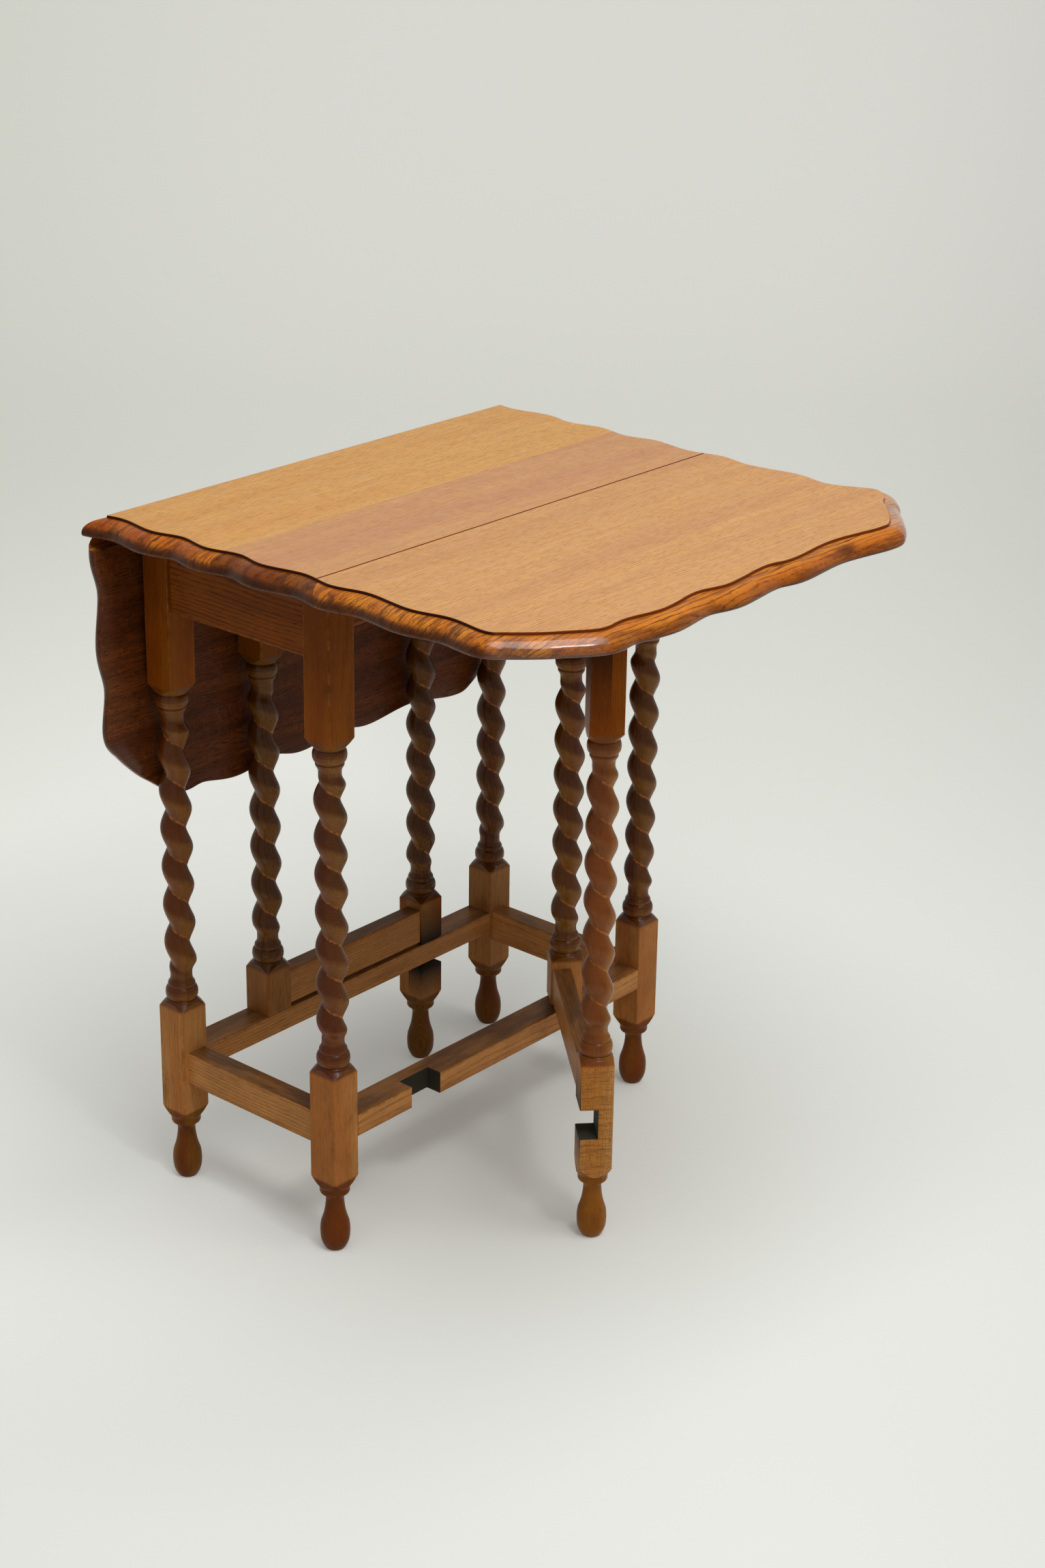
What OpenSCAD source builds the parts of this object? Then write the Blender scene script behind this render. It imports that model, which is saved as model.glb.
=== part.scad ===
// Gateleg drop leaf table in oak, with barley-twist legs, two swinging gates,
// two drop leaves on rule joints and a scalloped, thumbnail-moulded top.
// X runs across the hinges, Y along them, Z up; the origin is on the floor,
// in the middle of the table's outline with one leaf raised.

/* [Table] */
// Height of the table from the floor
table_h = 730; // [700:1:760]
// Distance of the legs inside the joint lines of the top
leg_in = 15.5; // [13:0.5:20]
// Distance of the legs inside the step lines of the top's ends
leg_in_end = 30; // [20:1:40]
// Side of the square blocks on legs and posts
leg_size = 34; // [32:0.5:36]

/* [Top and leaves] */
// Thickness of the top and leaves
top_t = 20; // [18:0.5:22]
// Width of the fixed top between its two joint lines
top_w = 283; // [280:1:300]
// Length of the top between the step lines of its end mouldings
top_len = 574; // [560:1:620]
// Distance of the glue line between the two top boards from the middle
glue_line = 20; // [0:1:50]
// Width of a leaf from its joint line to the step line of its moulding
leaf_w = 275; // [250:1:300]
// Width of the edge moulding outside the step line
mould_w = 17; // [12:0.5:20]
// Depth of the small step at the top of the moulding
step_h = 3; // [2:0.5:4]
// Depth of the scallops to each side of the mean edge
wave_h = 3.5; // [1:0.5:5]
// Size of the canted leaf corners
cant = 75; // [60:1:90]

/* [Rule joints and hinges] */
// Depth of the square lip above the round of the rule joint
joint_lip = 3; // [2:0.5:4]
// Open line between the fixed top and a raised leaf
joint_gap = 0.8; // [0.6:0.1:1.2]
// Clearance between the round and the hollow of the rule joint
cove_gap = 0.4; // [0.3:0.1:0.8]
// Distance of each hinge from the middle of the table
hinge_y = 185; // [150:1:195]
// Length of a hinge along its pin
hinge_l = 36; // [30:1:44]
// Diameter of the hinge knuckle
knuckle_d = 6; // [5:0.5:7]
// Diameter of the hinge pin
hinge_pin_d = 3; // [2.5:0.1:3.4]
// Thickness of the hinge plates
plate_t = 1.8; // [1.4:0.1:2.2]
// Width of the hinge plate on the fixed top
top_plate_w = 30; // [26:1:36]
// Width of the hinge plate on the leaf
leaf_plate_w = 44; // [40:1:52]
// Angle by which a hanging leaf leans in towards the legs
lean = 2.25; // [1:0.25:2.25]

/* [Legs and posts] */
// Height of the lower edge of the lower blocks
foot_h = 84; // [78:1:90]
// Height of the upper edge of the lower blocks
low_block_top = 199; // [194:1:206]
// Height of the lower edge of the upper blocks
high_block_z = 555; // [540:1:570]
// Radius of the foot at its widest
foot_r = 15.4; // [13:0.1:16]
// Radius of the foot's flat underside
toe_r = 9; // [7:0.1:10]
// Radius of the ankle above the foot
ankle_r = 9.2; // [8:0.1:10]
// Radius of the collar between ankle and block
collar_r = 15.4; // [13:0.1:16]
// Radius of the bead next to each block
bead_r = 16.9; // [15:0.1:16.9]
// Radius of the plain neck at each end of the twist
neck_r = 11.3; // [11:0.1:12.4]
// Length of the turned beads and neck between a block and the twist
turning_l = 37; // [36:1:44]
// Radius of the twisted strand
strand_r = 13; // [11.5:0.1:13]
// Distance of the strand's centre from the leg's centre
throw = 3.3; // [2:0.1:3.4]
// Height of one turn of the twist
pitch = 40; // [34:1:50]
// Length over which the twist grows out of the neck
fade_l = 14; // [8:1:20]

/* [Rails] */
// Thickness of the aprons under the top
apron_t = 22; // [20:0.5:23]
// Distance of the aprons inside the outer faces of the legs
apron_inset = 3.5; // [2:0.5:5]
// Height of the end aprons
end_apron_h = 76; // [60:1:90]
// Height of the side aprons
side_apron_h = 47; // [40:1:52]
// Height of the underside of the side stretchers
side_rail_z = 126; // [122:1:132]
// Thickness of the side stretchers, which lie flat
side_rail_h = 24; // [22:1:28]
// Height of the underside of the end stretchers
end_rail_z = 116; // [112:1:120]
// Height of the end stretchers
end_rail_h = 36; // [32:1:40]
// Thickness of the end stretchers
end_rail_t = 24; // [20:1:26]
// Distance of the end stretchers inside the outer faces of the legs
end_rail_inset = 7.5; // [4:0.5:8]

/* [Gates] */
// Distance of each gate's pivot from the middle of the table
pivot_y = 116; // [110:1:125]
// Distance between the centres of a gate's pivot post and outer leg
gate_l = 239; // [225:1:245]
// Angle to which the right gate stands open
open_angle = 47.4; // [30:0.1:60]
// Thickness of the gate rails
gate_rail_t = 20; // [18:0.5:22]
// Distance of the gate rails inside the inner faces of the posts
gate_rail_inset = 2; // [1:0.5:4]
// Height of the lower gate rail
gate_low_h = 39; // [34:1:42]
// Height of the upper gate rail
gate_high_h = 55; // [45:1:60]
// Running clearance above and below a gate
gate_gap = 0.4; // [0.3:0.1:1]
// Gap between the lower gate rail and the stretcher below it
rail_gap = 3.5; // [2.5:0.5:5]
// Depth of the lap cut in a side stretcher
rail_lap = 18; // [16:0.5:19]
// Depth of the lap cut in a gate's outer leg for the stretcher
leg_lap = 19; // [18:0.5:20]
// Thickness of the outer leg's head where it laps over the apron
head_t = 14; // [12:0.5:15]
// Clearance beside the outer leg in its lap
lap_side = 4.5; // [3:0.5:7]
// Clearance above the stretcher in the outer leg's lap
lap_above = 1.5; // [1:0.5:3]
// Clearance below the stretcher in the outer leg's lap
lap_below = 7.5; // [3:0.5:10]
// Clearance between two faces that meet in a lap
lap_face = 2.5; // [1.5:0.5:3]
// Diameter of the iron pivot pins
pivot_d = 8; // [6:0.5:9]
// Length of a pivot pin
pivot_l = 36; // [30:1:40]

/* [Dowels, blocks and screws] */
// Diameter of the dowels that join the rails to the legs
dowel_d = 6; // [5:0.5:6]
// Length of a dowel
dowel_l = 30; // [26:1:32]
// Length of a dowel between a gate's rail and its post or leg
gate_dowel_l = 24; // [20:1:24]
// Height and width of the blocks that the top is screwed through
block_s = 20; // [16:1:24]
// Length of those blocks
block_l = 44; // [36:1:60]
// Diameter of the screws that hold the top
screw_d = 4; // [3.5:0.1:4.5]
// Length of the screws that hold the top
screw_l = 30; // [26:1:34]
// Diameter of the hinge screws
hinge_screw_d = 3; // [2.5:0.1:3.5]
// Length of the hinge screws
hinge_screw_l = 13; // [10:0.5:15]
// Radial clearance of pins and dowels in their holes
fit = 0.08; // [0.05:0.01:0.1]

/* [Hidden] */
round_fn = 48;

// Levels and faces that the pieces share
under = table_h - top_t;
joint_x = top_w / 2;
half_leg = leg_size / 2;
rule_r = top_t - joint_lip - knuckle_d / 2;
pin_z = under + knuckle_d / 2;
half_len = top_len / 2;
leg_x = joint_x - leg_in - half_leg;
leg_y = half_len - leg_in_end - half_leg;
side_rail_top = side_rail_z + side_rail_h;
side_apron_z = under - side_apron_h;
apron_y = leg_y + half_leg - apron_inset - apron_t / 2;
apron_x = leg_x + half_leg - apron_inset - apron_t / 2;
end_rail_y = leg_y + half_leg - end_rail_inset - end_rail_t / 2;
post_z = side_rail_top + gate_gap;
post_top = side_apron_z - gate_gap;
gate_low_z = side_rail_top + rail_gap;
gate_high_top = post_top - gate_gap;
gate_high_z = gate_high_top - gate_high_h;
gate_rail_x = -half_leg + gate_rail_inset + gate_rail_t / 2;
lap_z = side_rail_z - lap_below;
lap_top = side_rail_top + lap_above;
lap_y = pivot_y - gate_l;
lap_half = half_leg + lap_side;
apron_lap_x = leg_x + half_leg - head_t - lap_face / 2;
eps = 0.01;

// Colours
oak_gold = [0.80, 0.58, 0.33];
oak_tan = [0.74, 0.55, 0.40];
oak_leaf = [0.77, 0.55, 0.36];
oak_brown = [0.42, 0.25, 0.12];
oak_dark = [0.30, 0.16, 0.08];
beech = [0.76, 0.62, 0.44];
iron = [0.35, 0.34, 0.33];

// Scallops: a place along the edge, as a share of the stretch it lies on, and
// how far it stands out, in scallop depths
top_waves = [[0, 1], [0.27, -1], [0.53, 1], [0.86, -1]];
leaf_waves = [[0.078, 1], [0.224, -1], [0.424, 1], [0.581, -1]];
long_waves = [[-0.63, -1], [-0.47, 1], [-0.28, -1], [-0.14, 1], [0.08, -1], [0.21, 0.6], [0.45, -1]];
// The canted corners, in cant sizes back from the corner of the leaf; cut by
// hand, so the two differ
near_corner = [[-0.95, -0.03], [-0.74, 0.09], [-0.45, 0.37], [-0.28, 0.59], [-0.07, 0.88], [-0.02, 1.08]];
far_corner = [[-0.95, -0.17], [-0.69, -0.01], [-0.52, 0.24], [-0.28, 0.5], [0.02, 0.9], [0.08, 1.2]];

// The knots of one end edge from the middle of the table outwards
function end_knots(corner) = concat(
    [for (w = top_waves) [w[0] * joint_x, half_len + wave_h * w[1]]],
    [for (w = leaf_waves) [joint_x + w[0] * leaf_w, half_len + wave_h * w[1]]],
    [for (c = corner) [joint_x + leaf_w + c[0] * cant, half_len - c[1] * cant]]);
function reverse(v) = [for (i = [len(v) - 1:-1:0]) v[i]];
function flip_x(v) = [for (p = v) [-p[0], p[1]]];
function flip_y(v) = [for (p = v) [p[0], -p[1]]];
function slice(v, a, b) = [for (i = [a:b]) v[i]];

// A smooth curve through knots 1 to n-2, as points with their outward normals
function curve_at(a, b, c, d, t) =
    0.5 * (2 * b + (c - a) * t + (2 * a - 5 * b + 4 * c - d) * t * t
    + (3 * b - a - 3 * c + d) * t * t * t);
function slope_at(a, b, c, d, t) =
    0.5 * ((c - a) + 2 * (2 * a - 5 * b + 4 * c - d) * t + 3 * (3 * b - a - 3 * c + d) * t * t);
function smooth(knots, steps) = [
    for (i = [1:len(knots) - 3], j = [0:steps - 1 + (i == len(knots) - 3 ? 1 : 0)])
        let (t = j / steps, g = slope_at(knots[i - 1], knots[i], knots[i + 1], knots[i + 2], t))
        [curve_at(knots[i - 1], knots[i], knots[i + 1], knots[i + 2], t), [g[1], -g[0]] / norm(g)]];

// Steps down the edge: distance outside the step line, and height
nose_z = under + 0.22 * top_t;
nose_h = top_t - step_h - 0.22 * top_t;
edge_steps = concat(
    [[0, table_h], [0, table_h - step_h]],
    [for (a = [60, 35, 10]) [mould_w * cos(a), nose_z + nose_h * sin(a)]],
    [[mould_w * 0.97, under + 0.08 * top_t], [mould_w * 0.84, under]]);

// A slab whose edge follows an outline of points and normals, anticlockwise
// about the middle
module moulded_slab(outline, middle) {
    n = len(outline);
    k = len(edge_steps);
    polyhedron(
        points = concat(
            [for (s = edge_steps, p = outline) concat(p[0] + p[1] * s[0], [s[1]])],
            [[middle[0], middle[1], table_h], [middle[0], middle[1], under]]),
        faces = concat(
            [for (i = [0:n - 1]) [k * n, (i + 1) % n, i]],
            [for (i = [0:n - 1]) [k * n + 1, (k - 1) * n + i, (k - 1) * n + (i + 1) % n]],
            [for (r = [0:k - 2], i = [0:n - 1])
                [r * n + i, r * n + (i + 1) % n, (r + 1) * n + (i + 1) % n, (r + 1) * n + i]]));
}
function top_outline() =
    let (e = slice(end_knots(near_corner), 0, 5), full = concat(reverse(flip_x(slice(e, 1, 5))), e))
    concat(smooth(flip_y(full), 4), smooth(reverse(full), 4));
function leaf_side(corner) = slice(end_knots(corner), 2, 7 + len(corner));
function leaf_outline() =
    smooth(concat(flip_y(leaf_side(near_corner)),
        [for (w = long_waves) [joint_x + leaf_w + wave_h * w[1], half_len * w[0]]],
        reverse(leaf_side(far_corner))), 4);
// The middle of the whole outline, with the right leaf raised and the left one
// hanging
nose = max([for (s = edge_steps) s[0]]);
x_min = -joint_x - (table_h - pin_z) * cos(lean) + joint_gap / 2 * sin(lean);
x_max = max([for (p = leaf_outline()) p[0][0] + p[1][0] * nose]);
y_min = min([for (p = leaf_outline()) p[0][1] + p[1][1] * nose]);
y_max = max([for (p = leaf_outline()) p[0][1] + p[1][1] * nose]);
module placed() { translate([-(x_min + x_max) / 2, -(y_min + y_max) / 2, 0]) children(); }

// Cylinders along X and Y, centred on their own origin
module along_x(d, l) { rotate([0, 90, 0]) cylinder(d = d, h = l, center = true, $fn = round_fn); }
module along_y(d, l) { rotate([90, 0, 0]) cylinder(d = d, h = l, center = true, $fn = round_fn); }
module box(x0, x1, y0, y1, z0, z1) { translate([x0, y0, z0]) cube([x1 - x0, y1 - y0, z1 - z0]); }
module at_hinges() { for (s = [-1, 1]) translate([0, s * hinge_y, 0]) children(); }

// ---- Hinges, drawn for the right side with the leaf raised ----
plate_top = under + plate_t;
knuckle_gap = 0.4;
plate_gap = 0.5;
barrel_l = (hinge_l - 2 * knuckle_gap) / 3;
clear_r = knuckle_d / 2 + 0.5;
top_screw_xy = [for (y = [-0.3, 0.3]) [joint_x - top_plate_w * 0.62, y * hinge_l]];
leaf_screw_xy = concat(
    [for (y = [-0.3, 0.3]) [joint_x + rule_r + (leaf_plate_w - rule_r) * 0.35, y * hinge_l]],
    [[joint_x + rule_r + (leaf_plate_w - rule_r) * 0.75, 0]]);

module knuckle(y, l) {
    translate([joint_x, y, pin_z]) along_y(knuckle_d, l);
}
module screw_hole(p, d) {
    translate([p[0], p[1], under - eps]) {
        cylinder(d = d + 2 * fit, h = plate_t + 1, $fn = round_fn);
        cylinder(d1 = 2 * d + 2 * fit, d2 = d + 2 * fit, h = plate_t, $fn = round_fn);
    }
}
module wood_screw(p, z, d, l, head_h) {
    translate([p[0], p[1], z]) {
        cylinder(d1 = 2 * d, d2 = d, h = head_h, $fn = round_fn);
        cylinder(d = d, h = l - d, $fn = round_fn);
        translate([0, 0, l - d]) cylinder(d1 = d, d2 = 0.4, h = d, $fn = round_fn);
    }
}
module top_plate() {
    difference() {
        union() {
            box(joint_x - top_plate_w, joint_x - clear_r, -hinge_l / 2, hinge_l / 2, under, plate_top);
            for (s = [-1, 1]) {
                y = s * (barrel_l + knuckle_gap);
                knuckle(y, barrel_l);
                box(joint_x - clear_r - eps, joint_x, y - barrel_l / 2, y + barrel_l / 2, under, plate_top);
            }
        }
        translate([joint_x, 0, pin_z]) along_y(hinge_pin_d + 2 * fit, hinge_l + 2);
        for (p = top_screw_xy) screw_hole(p, hinge_screw_d);
    }
}
module leaf_plate() {
    difference() {
        union() {
            box(joint_x + clear_r, joint_x + leaf_plate_w, -hinge_l / 2, hinge_l / 2, under, plate_top);
            knuckle(0, barrel_l);
            box(joint_x, joint_x + clear_r + eps, -barrel_l / 2, barrel_l / 2, under, plate_top);
        }
        translate([joint_x, 0, pin_z]) along_y(hinge_pin_d + 2 * fit, hinge_l + 2);
        for (p = leaf_screw_xy) screw_hole(p, hinge_screw_d);
    }
}
// Room for a hinge in the underside of the fixed top and of the leaf
module top_hinge_room() {
    w = hinge_l + 2 * knuckle_gap;
    box(joint_x - top_plate_w, joint_x, -w / 2, w / 2, under - 1, plate_top);
    box(joint_x, joint_x + rule_r + 1, -w / 2, w / 2, under - 1, plate_top + plate_gap);
    box(joint_x - clear_r, joint_x + clear_r, -w / 2, w / 2, under - 1, pin_z);
    translate([joint_x, 0, pin_z]) along_y(2 * clear_r, w);
    for (p = top_screw_xy) pilot(p, hinge_screw_d, hinge_screw_l);
}
module leaf_hinge_room() {
    w = hinge_l + 2 * knuckle_gap;
    box(joint_x, joint_x + leaf_plate_w, -w / 2, w / 2, under - 1, plate_top);
    for (p = leaf_screw_xy) pilot(p, hinge_screw_d, hinge_screw_l);
}
module pilot(p, d, l) {
    translate([p[0], p[1], under - 1]) cylinder(d = d + 2 * fit, h = l + 1.2, $fn = round_fn);
}

// ---- Top and leaves ----
module fixed_top() {
    difference() {
        intersection() {
            moulded_slab(top_outline(), [0, 0]);
            union() {
                box(-joint_x + joint_gap / 2, joint_x - joint_gap / 2, -table_h, table_h, 0, table_h + 1);
                for (s = [-1, 1]) translate([s * joint_x, 0, pin_z]) along_y(2 * rule_r, 2 * top_len);
            }
        }
        for (s = [0, 1]) mirror([s, 0, 0]) at_hinges() top_hinge_room();
        for (b = block_places()) {
            translate([b[0], b[1], under - 1])
                cylinder(d = screw_d + 2 * fit, h = screw_l - block_s + 1.2, $fn = round_fn);
        }
    }
}
module top_board_wide() {
    color(oak_gold) intersection() {
        fixed_top();
        box(-top_w, glue_line, -table_h, table_h, 0, table_h + 1);
    }
}
module top_board_narrow() {
    color(oak_tan) intersection() {
        fixed_top();
        box(glue_line, top_w, -table_h, table_h, 0, table_h + 1);
    }
}
module leaf_board() {
    hollow_r = rule_r + cove_gap;
    difference() {
        moulded_slab(leaf_outline(), [joint_x + leaf_w / 2, 0]);
        box(0, joint_x + joint_gap / 2, -table_h, table_h, 0, table_h + 1);
        box(0, joint_x + hollow_r, -table_h, table_h, 0, pin_z);
        translate([joint_x, 0, pin_z]) along_y(2 * hollow_r, 2 * top_len);
        at_hinges() leaf_hinge_room();
    }
}
// Places a leaf: the right one raised, the left one hanging
module place_leaf(side) {
    if (side == "right") children();
    else translate([-joint_x, 0, pin_z]) rotate([0, -90 - lean, 0]) translate([joint_x, 0, -pin_z])
        mirror([1, 0, 0]) children();
}
module leaf_screws() {
    for (p = leaf_screw_xy) wood_screw(p, under, hinge_screw_d, hinge_screw_l, plate_t);
}

// ---- Turned work ----
// Half an oval standing out from r0 to r1 between two heights
function bead(r0, r1, z0, z1) = [for (a = [0:30:180])
    [r0 + (r1 - r0) * sin(a), (z0 + z1) / 2 - (z1 - z0) / 2 * cos(a)]];
// Radius and distance from a block's edge, out to the start of the twist
block_r = half_leg * sqrt(2) + 0.2;
turning = concat([[block_r, 0], [17, 7.3], [15.4, 9.6], [14.3, 10]],
    bead(14, bead_r, 10.2, 24), [[13.4, 24.4]], bead(13, 14.1, 24.7, 29),
    [[12.2, 30.6], [neck_r + 0.2, 32.8], [neck_r, 35], [neck_r, turning_l]]);
// The swell of the foot and the ankle above it, as shares of their radii
foot_swell = [[0.27, 1.9], [0.64, 5.9], [0.84, 10], [0.94, 14], [1, 20.5], [0.96, 25.5]];
ankle_sweep = [[0.86, 30], [0.66, 34], [0.45, 38], [0.28, 42], [0.17, 46], [0.05, 52], [0, 57]];
foot = concat([[0, 0], [toe_r, 0]],
    [for (p = foot_swell) [toe_r + (foot_r - toe_r) * p[0], p[1]]],
    [for (p = ankle_sweep) [ankle_r + (foot_r - ankle_r) * p[0], p[1]]],
    [[ankle_r + 1, 60.4], [collar_r - 2.8, 63], [collar_r - 0.7, 64.8], [collar_r, 66.6]],
    [[collar_r, foot_h - 13.2], [collar_r + 0.3, foot_h - 12.4], [block_r, foot_h]]);
module turned(points) { rotate_extrude($fn = round_fn) polygon(points); }
module prism(z0, z1) { box(-half_leg, half_leg, -half_leg, half_leg, z0, z1); }
// One left-handed strand, round in section and off the leg's centre; turn gives
// the side on which it stands half way up and its pitch as a share of the usual
twist_mid = (low_block_top + high_block_z) / 2;
function rise(z, z0, z1) =
    let (t = max(0, min(1, (min(z - z0, z1 - z) - 1) / fade_l))) t * t * (3 - 2 * t);
module twist(turn) {
    z0 = low_block_top + turning_l - 1;
    z1 = high_block_z - turning_l + 1;
    k = round((z1 - z0) * 10 / pitch);
    m = 14;
    polyhedron(
        points = [for (i = [0:k], j = [0:m - 1])
            let (z = z0 + (z1 - z0) * i / k, f = rise(z, z0, z1),
                r = neck_r - 0.1 + (strand_r - neck_r + 0.1) * f,
                a = turn[0] - 360 * (z - twist_mid) / pitch / turn[1], b = a + 360 * j / m)
            [throw * f * cos(a) + r * cos(b), throw * f * sin(a) + r * sin(b), z]],
        faces = concat(
            [[for (j = [0:m - 1]) j], [for (j = [m - 1:-1:0]) k * m + j]],
            [for (i = [0:k - 1], j = [0:m - 1]) [i * m + j, (i + 1) * m + j, i * m + (j + 1) % m]],
            [for (i = [0:k - 1], j = [0:m - 1])
                [i * m + (j + 1) % m, (i + 1) * m + j, (i + 1) * m + (j + 1) % m]]));
}
// Lower part of a post, from z0 up to the twist, with or without a foot
module post_low(z0, has_foot) {
    start = has_foot ? foot : [[0, z0], [block_r, z0]];
    intersection() {
        turned(concat(start, [for (p = turning) [p[0], low_block_top + p[1]]],
            [[0, low_block_top + turning_l]]));
        prism(0, high_block_z);
    }
}
module post_high(z1) {
    intersection() {
        turned(concat([[0, high_block_z - turning_l]],
            reverse([for (p = turning) [p[0], high_block_z - p[1]]]), [[block_r, z1], [0, z1]]));
        prism(low_block_top, z1);
    }
}
module post(z0, z1, has_foot, turn) {
    post_low(z0, has_foot);
    twist(turn);
    post_high(z1);
}

// ---- Dowels: place, direction and count of every dowel in the frame ----
apron_end_dz = [16, 54];
apron_side_dz = [9, 41];
end_rail_dz = [7, end_rail_h - 7];
side_rail_dz = [6, side_rail_h - 6];
// Dowels of one corner, as [x, y, z, direction], for the corner at +X +Y
corner_dowels = concat(
    [for (z = apron_end_dz) [leg_x - half_leg, apron_y, under - end_apron_h + z, "x"]],
    [for (z = apron_side_dz) [apron_x, leg_y - half_leg, side_apron_z + z, "y"]],
    [for (z = end_rail_dz) [leg_x - half_leg, end_rail_y, end_rail_z + z, "x"]],
    [for (z = side_rail_dz) [leg_x + half_leg / 2, leg_y - half_leg, side_rail_z + z, "y"]]);
module dowel(p, d, l) {
    translate([p[0], p[1], p[2]]) if (p[3] == "x") along_x(d, l); else along_y(d, l);
}
module corner_bores() { for (p = corner_dowels) dowel(p, dowel_d + 2 * fit, dowel_l + 1); }
module all_corners() {
    for (sx = [0, 1], sy = [0, 1]) mirror([sx, 0, 0]) mirror([0, sy, 0]) children();
}
module frame_dowels() { color(beech) all_corners() for (p = corner_dowels) dowel(p, dowel_d, dowel_l); }

// ---- Legs ----
// Near left, near right, far left and far right
leg_turns = [[54, 1.05], [207, 0.97], [6, 1], [277, 1.01]];
module leg(sx, sy) {
    turn = leg_turns[(sy > 0 ? 2 : 0) + (sx > 0 ? 1 : 0)];
    color(oak_dark) difference() {
        translate([sx * leg_x, sy * leg_y, 0]) post(0, under, true, turn);
        mirror([sx < 0 ? 1 : 0, 0, 0]) mirror([0, sy < 0 ? 1 : 0, 0]) corner_bores();
    }
}

// ---- Aprons and stretchers ----
module end_apron(s) {
    x = leg_x - half_leg;
    color(oak_brown) difference() {
        box(-x, x, s * apron_y - apron_t / 2, s * apron_y + apron_t / 2, under - end_apron_h, under);
        all_corners() corner_bores();
    }
}
module end_stretcher(s) {
    x = leg_x - half_leg;
    color(oak_brown) difference() {
        box(-x, x, s * end_rail_y - end_rail_t / 2, s * end_rail_y + end_rail_t / 2,
            end_rail_z, end_rail_z + end_rail_h);
        all_corners() corner_bores();
    }
}
// Side rails are drawn for the right side; the left side is the same, turned half round
module side_apron() {
    y = leg_y - half_leg;
    color(oak_brown) difference() {
        box(apron_x - apron_t / 2, apron_x + apron_t / 2, -y, y, side_apron_z, under);
        box(apron_lap_x, leg_x + leg_size, lap_y - lap_half, lap_y + lap_half, side_apron_z - 1, under + 1);
        all_corners() corner_bores();
        pivot_bores(0);
    }
}
module side_stretcher() {
    y = leg_y - half_leg;
    color(oak_brown) difference() {
        box(leg_x - half_leg, leg_x + half_leg, -y, y, side_rail_z, side_rail_top);
        box(leg_x + half_leg - rail_lap, leg_x + leg_size, lap_y - lap_half, lap_y + lap_half,
            side_rail_z - 1, side_rail_top + 1);
        all_corners() corner_bores();
        pivot_bores(0);
    }
}
module half_turn(side) { rotate([0, 0, side == "left" ? 180 : 0]) children(); }

// ---- Pivot pins, at the right gate ----
module pivot_pins(d, extra) {
    translate([leg_x, pivot_y, side_rail_top - pivot_l / 2 + 2 - extra])
        cylinder(d = d, h = pivot_l + 2 * extra, $fn = round_fn);
    translate([leg_x, pivot_y, side_apron_z - pivot_l / 2 - 2 - extra])
        cylinder(d = d, h = pivot_l + 2 * extra, $fn = round_fn);
}
module pivot_bores(slack) { pivot_pins(pivot_d + 2 * (fit + slack), 0.3); }

// ---- Gates, drawn closed at the right side about their own pivot ----
module in_gate(side) {
    half_turn(side) translate([leg_x, pivot_y, 0]) rotate([0, 0, side == "right" ? open_angle : 0])
        children();
}
gate_dowel_xz = [
    [gate_rail_x, gate_low_z + gate_low_h * 0.26], [gate_rail_x, gate_low_z + gate_low_h * 0.74],
    [gate_rail_x, gate_high_top - gate_high_h * 0.76], [gate_rail_x, gate_high_top - gate_high_h * 0.24]
];
module gate_dowels_solid(d, l) {
    for (p = gate_dowel_xz, y = [-half_leg, -gate_l + half_leg])
        dowel([p[0], y, p[1], "y"], d, l);
}
module gate_bores() { gate_dowels_solid(dowel_d + 2 * fit, gate_dowel_l + 1); }
// A gate's pivot post and its outer leg
function gate_turns(side) = side == "left" ? [[82, 1.04], [334, 0.98]] : [[133.6, 0.97], [163.7, 0.98]];
module gate_post(side) {
    color(oak_dark) in_gate(side) difference() {
        post(post_z, post_top, false, gate_turns(side)[0]);
        gate_bores();
        translate([-leg_x, -pivot_y, 0]) pivot_bores(0);
    }
}
module gate_leg(side) {
    color(oak_dark) in_gate(side) difference() {
        translate([0, -gate_l, 0]) post(0, under - gate_gap, true, gate_turns(side)[1]);
        box(-leg_size, -half_leg + leg_lap, -gate_l - leg_size, -gate_l + leg_size, lap_z, lap_top);
        box(-leg_size, half_leg - head_t, -gate_l - leg_size, -gate_l + leg_size, post_top, table_h);
        gate_bores();
    }
}
module gate_rail(side, z0, h) {
    color(oak_brown) in_gate(side) difference() {
        box(gate_rail_x - gate_rail_t / 2, gate_rail_x + gate_rail_t / 2,
            -gate_l + half_leg, -half_leg, z0, z0 + h);
        gate_bores();
    }
}
module gate_dowels(side) { color(beech) in_gate(side) gate_dowels_solid(dowel_d, gate_dowel_l); }

// ---- Blocks and screws that hold the top ----
function block_places() = [
    for (s = [-1, 1]) each [
        [s * (apron_x - apron_t / 2 - block_s / 2), s * 20],
        [s * 50, apron_y - apron_t / 2 - block_s / 2],
        [s * 50, -apron_y + apron_t / 2 + block_s / 2]
    ]];
module screw_blocks() {
    color(beech) for (b = block_places()) {
        long_y = abs(b[1]) < 100;
        difference() {
            translate([b[0], b[1], under - block_s / 2])
                cube([long_y ? block_s : block_l, long_y ? block_l : block_s, block_s], center = true);
            translate([b[0], b[1], under - block_s - 1]) {
                cylinder(d = screw_d + 2 * fit, h = block_s + 2, $fn = round_fn);
                cylinder(d1 = 2 * screw_d + 2 + 2 * fit, d2 = screw_d + 2 * fit, h = screw_d / 2 + 1,
                    $fn = round_fn);
            }
        }
    }
}
module top_screws() {
    color(iron) for (b = block_places())
        wood_screw(b, under - block_s, screw_d, screw_l, screw_d / 2);
}
module top_hinge_plates(side) {
    color(iron) mirror([side == "left" ? 1 : 0, 0, 0]) at_hinges() top_plate();
}
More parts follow.
